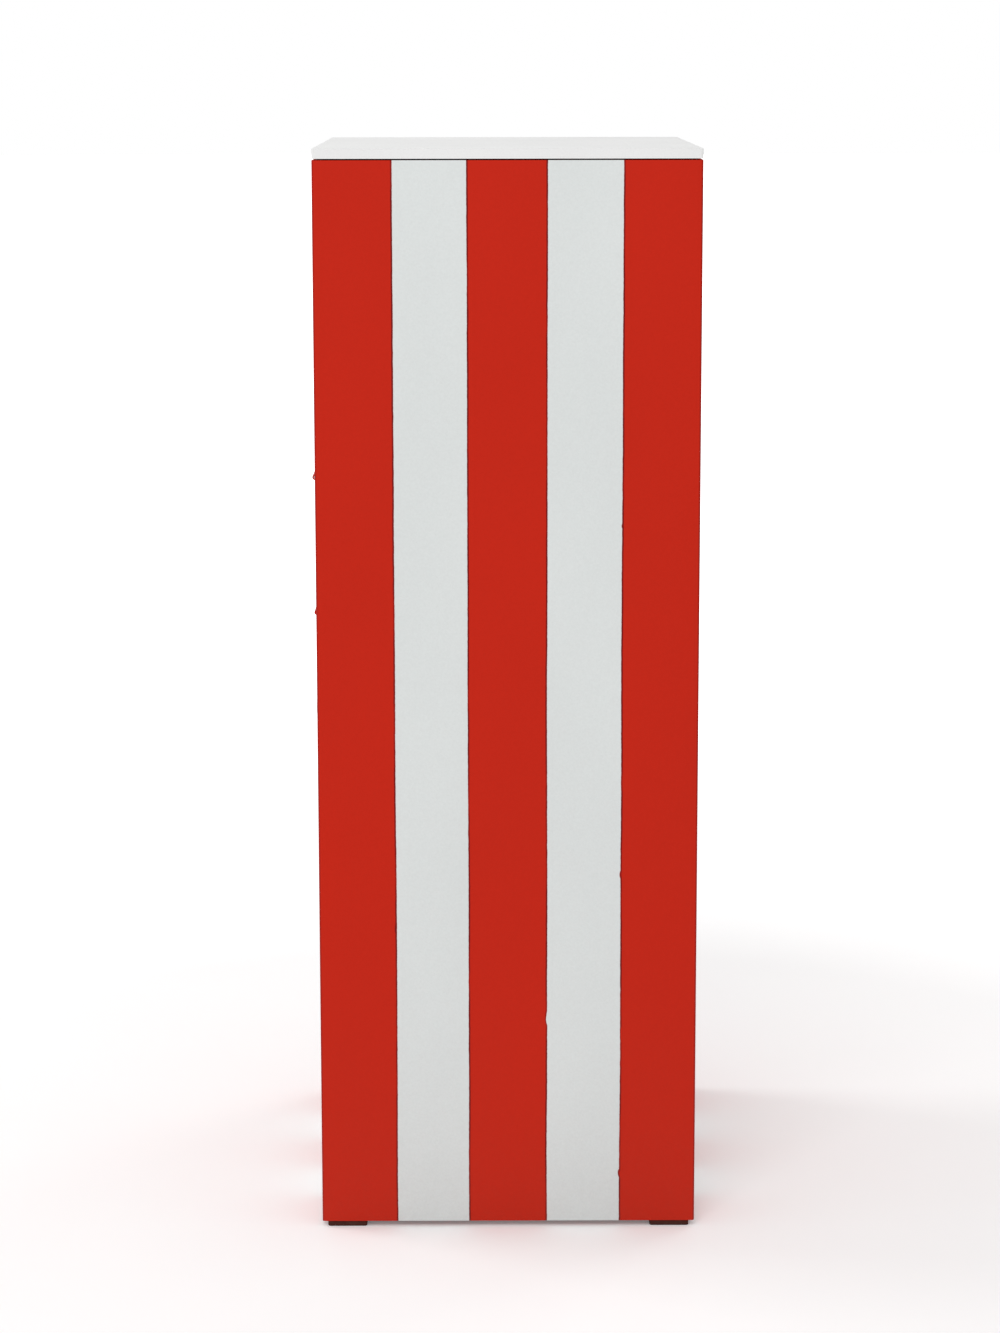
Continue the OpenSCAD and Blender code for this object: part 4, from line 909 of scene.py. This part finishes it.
def aimed_rotation(tree, turn, seed):
    """Z along each point's own aim, then a turn about it that differs from point to point."""
    aim = add(tree, "GeometryNodeInputNamedAttribute", {"Name": "aim"}, data_type="FLOAT_VECTOR").outputs[0]
    facing = add(tree, "FunctionNodeAlignRotationToVector", {"Vector": aim}, axis="Z").outputs[0]
    chance = add(tree, "FunctionNodeRandomValue", {2: 0.0, 3: 1.0, "Seed": seed}, data_type="FLOAT")
    angle = times(tree, chance.outputs[1], turn)
    spin = add(tree, "FunctionNodeAxisAngleToRotation", {"Axis": (0, 0, 1), "Angle": angle})
    made = add(tree, "FunctionNodeRotateRotation", {"Rotation": facing, "Rotate By": spin.outputs[0]})
    made.rotation_space = "LOCAL"
    return made.outputs[0]


def copies_on(tree, points, part, rotation):
    given = {"Points": points, "Instance": part, "Rotation": rotation}
    return add(tree, "GeometryNodeInstanceOnPoints", given).outputs[0]


def build_repeat_tree():
    """One copy of a pattern part at each point, such as a screw in each hole."""
    tree, given, out = new_group(
        "repeat_part",
        [("Geometry", GEOMETRY, None), ("Pattern", OBJECT, None), ("Material", MATERIAL, None),
         ("Turn", FLOAT, math.tau), ("Seed", INTEGER, 1)],
        [("Geometry", GEOMETRY)], "GeometryNodeTree")
    pattern = add(tree, "GeometryNodeObjectInfo", {"Object": given["Pattern"]}).outputs["Geometry"]
    turn = aimed_rotation(tree, given["Turn"], given["Seed"])
    end_tree(tree, out, copies_on(tree, given["Geometry"], pattern, turn), given["Material"])
    return tree


def build_coil_tree():
    """A coil of round wire standing on each point, for springs and for windings."""
    tree, given, out = new_group(
        "coil_of_wire",
        [("Geometry", GEOMETRY, None), ("Material", MATERIAL, None), ("Radius", FLOAT, 0.006),
         ("Wire", FLOAT, 0.0005), ("Length", FLOAT, 0.02), ("Turns", FLOAT, 8.0), ("Steps", INTEGER, 24)],
        [("Geometry", GEOMETRY)], "GeometryNodeTree")
    radius = given["Radius"]
    spiral = add(tree, "GeometryNodeCurveSpiral", {
        "Resolution": given["Steps"], "Rotations": given["Turns"], "Start Radius": radius,
        "End Radius": radius, "Height": given["Length"]}).outputs[0]
    size = {"Resolution": 8, "Radius": given["Wire"]}
    section = add(tree, "GeometryNodeCurvePrimitiveCircle", size)
    wire = add(tree, "GeometryNodeCurveToMesh", {
        "Curve": spiral, "Profile Curve": section.outputs[0], "Fill Caps": True}).outputs[0]
    smooth = add(tree, "GeometryNodeSetShadeSmooth", {"Geometry": wire}).outputs[0]
    copies = copies_on(tree, given["Geometry"], smooth, aimed_rotation(tree, 0.0, 1))
    end_tree(tree, out, copies, given["Material"])
    return tree


def build_tie_tree():
    """A pattern part every so far along a line, such as the ties round a loom."""
    tree, given, out = new_group(
        "ties_along_line",
        [("Geometry", GEOMETRY, None), ("Pattern", OBJECT, None), ("Material", MATERIAL, None),
         ("Pitch", FLOAT, 0.04)],
        [("Geometry", GEOMETRY)], "GeometryNodeTree")
    line = add(tree, "GeometryNodeMeshToCurve", {"Mesh": given["Geometry"]}).outputs[0]
    spaced = {"Curve": line, "Length": given["Pitch"]}
    points = add(tree, "GeometryNodeResampleCurve", spaced, mode="LENGTH").outputs[0]
    tangent = add(tree, "GeometryNodeInputTangent").outputs[0]
    facing = add(tree, "FunctionNodeAlignRotationToVector", {"Vector": tangent}, axis="Z").outputs[0]
    pattern = add(tree, "GeometryNodeObjectInfo", {"Object": given["Pattern"]}).outputs["Geometry"]
    end_tree(tree, out, copies_on(tree, points, pattern, facing), given["Material"])
    return tree


TREES = {"repeat": build_repeat_tree(), "coil": build_coil_tree(), "ties": build_tie_tree()}


def grow(kind, base, name, **inputs):
    """Runs a tree on the base mesh, with its inputs given by name, and returns a plain mesh."""
    modifier = base.modifiers.new("grow", "NODES")
    modifier.node_group = TREES[kind]
    for item in TREES[kind].interface.items_tree:
        if item.item_type == "SOCKET" and item.in_out == "INPUT" and item.name in inputs:
            modifier[item.identifier] = inputs[item.name]
    return settle(base, name)


def points_at(name, places, aim):
    """Loose points in mm, each with the direction that a part on it faces."""
    base = mesh_object(name + "_places", [Vector(p) * MM for p in places], [])
    mark = base.data.attributes.new("aim", "FLOAT_VECTOR", "POINT")
    mark.data.foreach_set("vector", [c for _ in places for c in aim])
    return base


def repeated(name, pattern, places, aim, material, turn=math.tau, seed=1):
    """A pattern part at each place. The pattern goes."""
    made = grow("repeat", points_at(name, places, aim), name, Pattern=pattern, Material=MATERIALS[material],
                Turn=turn, Seed=seed)
    bpy.data.objects.remove(pattern)
    return made


def coiled(name, place, aim, material, radius, wire, length, turns, steps=24):
    """A coil of wire, its sizes in mm, standing at a place."""
    return grow("coil", points_at(name, [place], aim), name, Material=MATERIALS[material],
                Radius=radius * MM, Wire=wire * MM, Length=length * MM, Turns=turns, Steps=steps)


# ---------------- pattern parts, about Z and in mm


def screw(head_r, head_h, shank_r, shank_l, cross=False):
    """A pan-head screw, its head above 0: a slot, or a cross where cross is set."""
    outline = [(0, -shank_l), (shank_r * 0.7, -shank_l), (shank_r, -shank_l + 0.4 * shank_r), (shank_r, 0),
               (head_r * 0.96, 0), (head_r, 0.08 * head_h), (head_r, 0.45 * head_h),
               (head_r * 0.95, 0.68 * head_h), (head_r * 0.82, 0.86 * head_h), (head_r * 0.6, 0.96 * head_h),
               (0, head_h)]
    made = turned("screw", outline, 28)
    reach = head_r * (0.62 if cross else 1.2)
    half = head_r * 0.13
    made = cut(made, (-reach, -half, 0.45 * head_h), (reach, half, head_h + 1))
    if cross:
        made = cut(made, (-half, -reach, 0.45 * head_h), (half, reach, head_h + 1))
    return made


def rivet(head_r, head_h, shank_r, shank_l):
    """A round-head rivet, its head above 0."""
    angles = [math.pi / 2 * i / 6 for i in range(1, 6)]
    dome = [(head_r * math.cos(a), head_h * math.sin(a)) for a in angles]
    outline = [(0, -shank_l), (shank_r, -shank_l), (shank_r, 0), (head_r, 0)] + dome + [(0, head_h)]
    return turned("rivet", outline, 28)


def terminal(width, height, plate_t, head_r, head_h):
    """A terminal: a plate with a cheese-head screw in its middle."""
    plate = blocks("plate", [((-width / 2, -height / 2, 0), (width / 2, height / 2, plate_t))], 0.25)
    outline = [(0, 0), (head_r, 0), (head_r, head_h - 0.3), (head_r - 0.3, head_h), (0, head_h)]
    head = turned("head", outline, 24)
    head = cut(head, (-head_r * 1.2, -0.45, head_h * 0.5), (head_r * 1.2, 0.45, head_h + 1))
    head.data.transform(Matrix.Translation((0, 0, plate_t * MM)))
    return smoothed(joined("terminal", [plate, head]))


# ---------------- places, in mm

DOOR_WARD = (0, -1, 0)
BACK_WARD = (0, 1, 0)
RIGHT_WARD = (1, 0, 0)
UP = (0, 0, 1)
DOWN = (0, 0, -1)

LEAF_SCREW_HEIGHTS = [hinge + step for hinge in (158, 578, 998) for step in (-30, 0, 30)]
LEAF_FACE = -202
BUTTON_HEIGHT = 715
PILLAR_XS = (-62, 62)
PILLAR_HEIGHTS = (568, 772)
BOBBIN_HEIGHTS = (828, 852)
BOBBIN_DEPTH = -80
BLOCK_XS = (-75, -45, -15, 15, 45, 75)
ARRESTER_XS = (-50, 50)
ARRESTER_DEPTH = 172


def grid(xs, y, zs):
    """Places at one depth, each height in turn at each x."""
    return [(x, y, z) for x in xs for z in zs]


# ---------------- pieces that are made afresh


def make_screws_and_rivets():
    leaf_screws = repeated("leaf_screws", screw(3.6, 1.2, 1.9, 6, cross=True),
                           grid([-239], LEAF_FACE, LEAF_SCREW_HEIGHTS), DOOR_WARD, "zinc", seed=3)
    panel_screws = repeated("panel_screws", screw(3.6, 1.2, 1.9, 9, cross=True),
                            grid((-195, 195), -62, (570, 910)), DOOR_WARD, "zinc", seed=4)
    lid_places = [(x, y, 1134) for x in (-236, 236) for y in (-186, 186)]
    lid_screws = repeated("lid_screws", screw(3.6, 3, 1.9, 10, cross=True), lid_places, DOWN, "zinc", seed=5)
    cabinet_screws = joined("cabinet_screws_finish", [leaf_screws, panel_screws, lid_screws])
    hand_over(cabinet_screws, "cabinet", "zinc", "cabinet_screws")

    door_leaf_screws = repeated("door_leaf_screws", screw(3.6, 1.2, 1.9, 6, cross=True),
                                grid([-205.75], LEAF_FACE, LEAF_SCREW_HEIGHTS), DOOR_WARD, "zinc", seed=6)
    bezel_screws = repeated("bezel_screws", screw(3.6, 1.2, 1.9, 11),
                            grid((-79.5, 79.5), -205, (637, 793)), DOOR_WARD, "zinc", seed=7)
    door_screws = joined("door_screws_finish", [door_leaf_screws, bezel_screws])
    hand_over(door_screws, "door", "zinc", "door_screws")

    plate_rivets = repeated("plate_rivets_finish", rivet(3, 1.1, 1.9, 1.5),
                            grid((-82, 82), -201.5, (833, 927)), DOOR_WARD, "zinc")
    hand_over(plate_rivets, "door", "zinc", "plate_rivets")


def make_call_point():
    """The push button with its dished face, and the coiled spring behind it."""
    outline = [(0, 0), (1.1, 0), (1.5, 0.4), (1.5, 3), (3.7, 3), (4, 3.3), (4, 44), (16.8, 44), (17.6, 44.4),
               (18, 45.2), (18, 52.6), (17.7, 54), (16.9, 55.2), (15.6, 55.9), (14.2, 56), (12.6, 55.7),
               (9, 55.2), (4, 54.9), (0, 54.8)]
    push_button = stand(turned("push_button_finish", outline, 56), (0, -124, BUTTON_HEIGHT), DOOR_WARD)
    hand_over(push_button, "button", "moulding", "push_button")

    low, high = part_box("button_spring")
    wire = 0.8
    foot = (0, low.y / MM + wire, BUTTON_HEIGHT)
    length = (high.y - low.y) / MM - 2 * wire
    button_spring = coiled("button_spring_finish", foot, BACK_WARD, "steel", 6.1, wire, length, 5.5)
    hand_over(button_spring, "door", "steel", "button_spring")
    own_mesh(button_spring)


def make_bell_coils():
    """Two bobbins side by side, each with its cheeks, its winding and its core."""
    cheek = [(3.1, 0), (9.6, 0), (10, 0.3), (10, 1.7), (9.6, 2), (3.1, 2), (3.1, 0)]
    core = [(0, 0), (2.7, 0), (3, 0.3), (3, 43), (0, 43)]
    cheeks, windings, cores = [], [], []
    for z in BOBBIN_HEIGHTS:
        for x in (-48, -10):
            cheeks.append(stand(turned("cheek", cheek, 40), (x, BOBBIN_DEPTH, z), RIGHT_WARD))
        start = (-45.6, BOBBIN_DEPTH, z)
        windings.append(coiled("winding", start, RIGHT_WARD, "coil", 7.5, 0.5, 35.2, 38.0))
        cores.append(stand(turned("core", core, 28), (-50, BOBBIN_DEPTH, z), RIGHT_WARD))
    hand_over(joined("bell_coil_cheeks", cheeks), "cabinet", "moulding", "bell_coils")
    hand_over(joined("bell_coil_windings", windings), "cabinet", "coil", "bell_coils")
    hand_over(joined("bell_coil_cores", cores), "cabinet", "steel", "bell_coils")


def make_pillars():
    """The pillars between the movement's plates, their feet behind it and the screws in front."""
    outline = [(0, 0), (4, 0), (4, 3.5), (3.2, 4.3), (3.2, 34.7), (4, 35.5), (4, 39), (0, 39)]
    foot = [(0, 0), (4, 0), (4, 5), (0, 5)]
    pillars = []
    for x, _, z in grid(PILLAR_XS, 0, PILLAR_HEIGHTS):
        pillars.append(stand(turned("pillar", outline, 28), (x, -109, z), BACK_WARD))
        pillars.append(stand(turned("pillar_foot", foot, 28), (x, -67, z), BACK_WARD))
    heads = repeated("pillar_heads", screw(4, 2, 2, 1), grid(PILLAR_XS, -112, PILLAR_HEIGHTS), DOOR_WARD,
                     "steel", seed=8)
    hand_over(joined("pillars_finish", pillars), "cabinet", "brass", "movement_pillars")
    hand_over(heads, "cabinet", "steel", "movement_pillars")


def make_terminals(strip_xs):
    strip = repeated("strip_terminals", terminal(11, 15, 1.2, 3, 1.6), grid(strip_xs, -69, [573]), DOOR_WARD,
                     "brass", turn=0.12, seed=2)
    hand_over(strip, "cabinet", "brass")
    block = repeated("block_terminals", terminal(12, 20, 1.6, 4, 2.6), grid(BLOCK_XS, 186, (213, 317)),
                     DOOR_WARD, "brass", turn=0.1, seed=9)
    hand_over(block, "cabinet", "brass")


def make_arresters():
    """Two ceramic tubes with ribs, a cap on each end and a bent clip that holds each cap."""
    tube = [(0, 0), (9.2, 0), (9.2, 6), (9.2, 16), (9.8, 17), (9.8, 19), (9.2, 20), (9.2, 40), (9.8, 41),
            (9.8, 43), (9.2, 44), (9.2, 60), (0, 60)]
    cap = [(0, 0), (9.4, 0), (10, 0.6), (10, 9.4), (9.8, 10), (0, 10)]
    tubes, caps, clips = [], [], []
    for x in ARRESTER_XS:
        tubes.append(stand(turned("tube", tube, 40), (x, ARRESTER_DEPTH, 235), UP))
        caps.append(stand(turned("cap", cap, 40), (x, ARRESTER_DEPTH, 234.9), UP))
        caps.append(stand(turned("cap", cap, 40), (x, ARRESTER_DEPTH, 295.1), DOWN))
        clips += [((x - 6, 164, z), (x + 6, 186, z + 1.8)) for z in (229, 299.2)]
        clips += [((x - 6, 184.2, 222), (x + 6, 186, 230.8)), ((x - 6, 184.2, 299.2), (x + 6, 186, 308))]
        clips += [((x - 4, 170, 230.8), (x + 4, 174, 235)), ((x - 4, 170, 295), (x + 4, 174, 299.2))]
    hand_over(joined("arrester_tubes", tubes), "cabinet", "ceramic", "surge_arresters")
    hand_over(joined("arrester_caps", caps), "cabinet", "brass", "surge_arresters")
    hand_over(blocks("arrester_clips", clips, 0.4), "cabinet", "brass", "surge_arresters")


# ---------------- wiring

LOOM_CORNERS = [(-90.3, 184, 265), (-234, 184, 265), (-234, 184, 480), (-234, -39, 480), (-133, -39, 480),
                (-133, -67, 480), (-133, -67, 559.7)]
LOOM_BEND = 11
STRANDS_ROUND = 6
STRAND_RADIUS = 1.6
STRAND_REACH = 3.05
LAY_LENGTH = 38


def strand(loom_frames, place):
    """One strand of the loom: the middle one, or one of those laid round it in a long twist."""
    path, run = [], 0.0
    for i, (point, _, side, up) in enumerate(loom_frames):
        run += (point - loom_frames[max(i - 1, 0)][0]).length
        angle = math.tau * place / STRANDS_ROUND + run / LAY_LENGTH
        out = (side * math.cos(angle) + up * math.sin(angle)) * STRAND_REACH
        path.append(point if place == STRANDS_ROUND else point + out)
    return path


def make_loom():
    loom_path = spread(rounded_path(LOOM_CORNERS, LOOM_BEND), 6)
    loom_frames = frames(loom_path)
    for shade, places in {"cable": (0, 3, 6), "wire_red": (1, 4), "wire_grey": (2, 5)}.items():
        paths = [strand(loom_frames, place) for place in places]
        piece = wires("loom_strands_" + shade, paths, STRAND_RADIUS)
        hand_over(piece, "cabinet", "cable", "wiring_loom", material=shade)

    tie = [(4.55, -1.2), (4.9, -1.2), (5.0, -0.9), (5.0, 0.9), (4.9, 1.2), (4.55, 1.2), (4.55, -1.2)]
    line = mesh_object("loom_line", [p * MM for p in loom_path], [])
    line.data.edges.add(len(loom_path) - 1)
    line.data.edges.foreach_set("vertices", [v for i in range(len(loom_path) - 1) for v in (i, i + 1)])
    pattern = turned("tie", tie, 24)
    ties = grow("ties", line, "loom_ties", Pattern=pattern, Material=MATERIALS["moulding"], Pitch=45 * MM)
    bpy.data.objects.remove(pattern)
    hand_over(ties, "cabinet", "moulding")


def make_wires(name, runs_by_shade, bend, step):
    """Single wires, a piece for each colour, bent round their corners."""
    for shade, runs in runs_by_shade.items():
        piece = wires(name + shade, [spread(rounded_path(run, bend, 5), step) for run in runs], 1.1)
        hand_over(piece, "cabinet", "cable", material=shade)


def panel_wires(strip_xs):
    """From each terminal of the strip to the bell, the contacts and the test key."""
    def wire(terminal_at, *corners):
        return [(strip_xs[terminal_at], -66, 580), *corners]

    return {
        "wire_red": [
            wire(0, (strip_xs[0], -64, 594), (strip_xs[0], -64, 888), (-22, -64, 888), (-22, -74, 888),
                 (-22, -80, 876), (-22, -80, 859)),
            wire(3, (strip_xs[3], -64, 598), (80, -64, 598), (80, -64, 700), (80, -114, 700),
                 (66, -117, 690), (55, -117, 681)),
        ],
        "wire_grey": [
            wire(1, (strip_xs[1], -64, 594), (strip_xs[1], -64, 882), (-36, -64, 882), (-36, -74, 882),
                 (-36, -80, 874), (-36, -80, 859)),
            wire(4, (strip_xs[4], -64, 594), (84, -64, 594), (84, -64, 704), (84, -116, 704),
                 (68, -119, 692), (51.6, -119, 682)),
        ],
        "cable": [
            wire(2, (strip_xs[2], -64, 606), (88, -64, 606), (88, -64, 676), (94, -72, 676),
                 (104, -77, 676)),
            wire(5, (strip_xs[5], -64, 590), (76, -64, 590), (76, -64, 540), (162, -64, 540),
                 (162, -64, 676), (157, -72, 676), (146, -77, 676)),
        ],
    }


BLOCK_TAILS = {
    "wire_red": [[(-92, 182, 266), (-84, 182, 270), (-84, 183, 300), (-75, 183, 307), (-75, 183.5, 312)],
                 [(-92, 182, 263), (-80, 182, 258), (-80, 183, 230), (-75, 183, 224), (-75, 183.5, 218)]],
    "cable": [[(-92, 182, 267), (-70, 182, 272), (-62, 182, 296), (-45, 182, 320), (-45, 183.5, 322)],
              [(-92, 182, 261), (-68, 182, 250), (-64, 182, 220), (-50, 182, 206), (-45, 183.5, 207)]],
}

make_screws_and_rivets()
make_call_point()
make_bell_coils()
make_pillars()

strip_low, strip_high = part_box("terminal_strip")
strip_pitch = (strip_high.x - strip_low.x) / MM / 6
STRIP_XS = [strip_low.x / MM + strip_pitch * (i + 0.5) for i in range(6)]
make_terminals(STRIP_XS)
make_arresters()
make_loom()
make_wires("panel_wires_", panel_wires(STRIP_XS), bend=5, step=30)
make_wires("block_tails_", BLOCK_TAILS, bend=6, step=20)
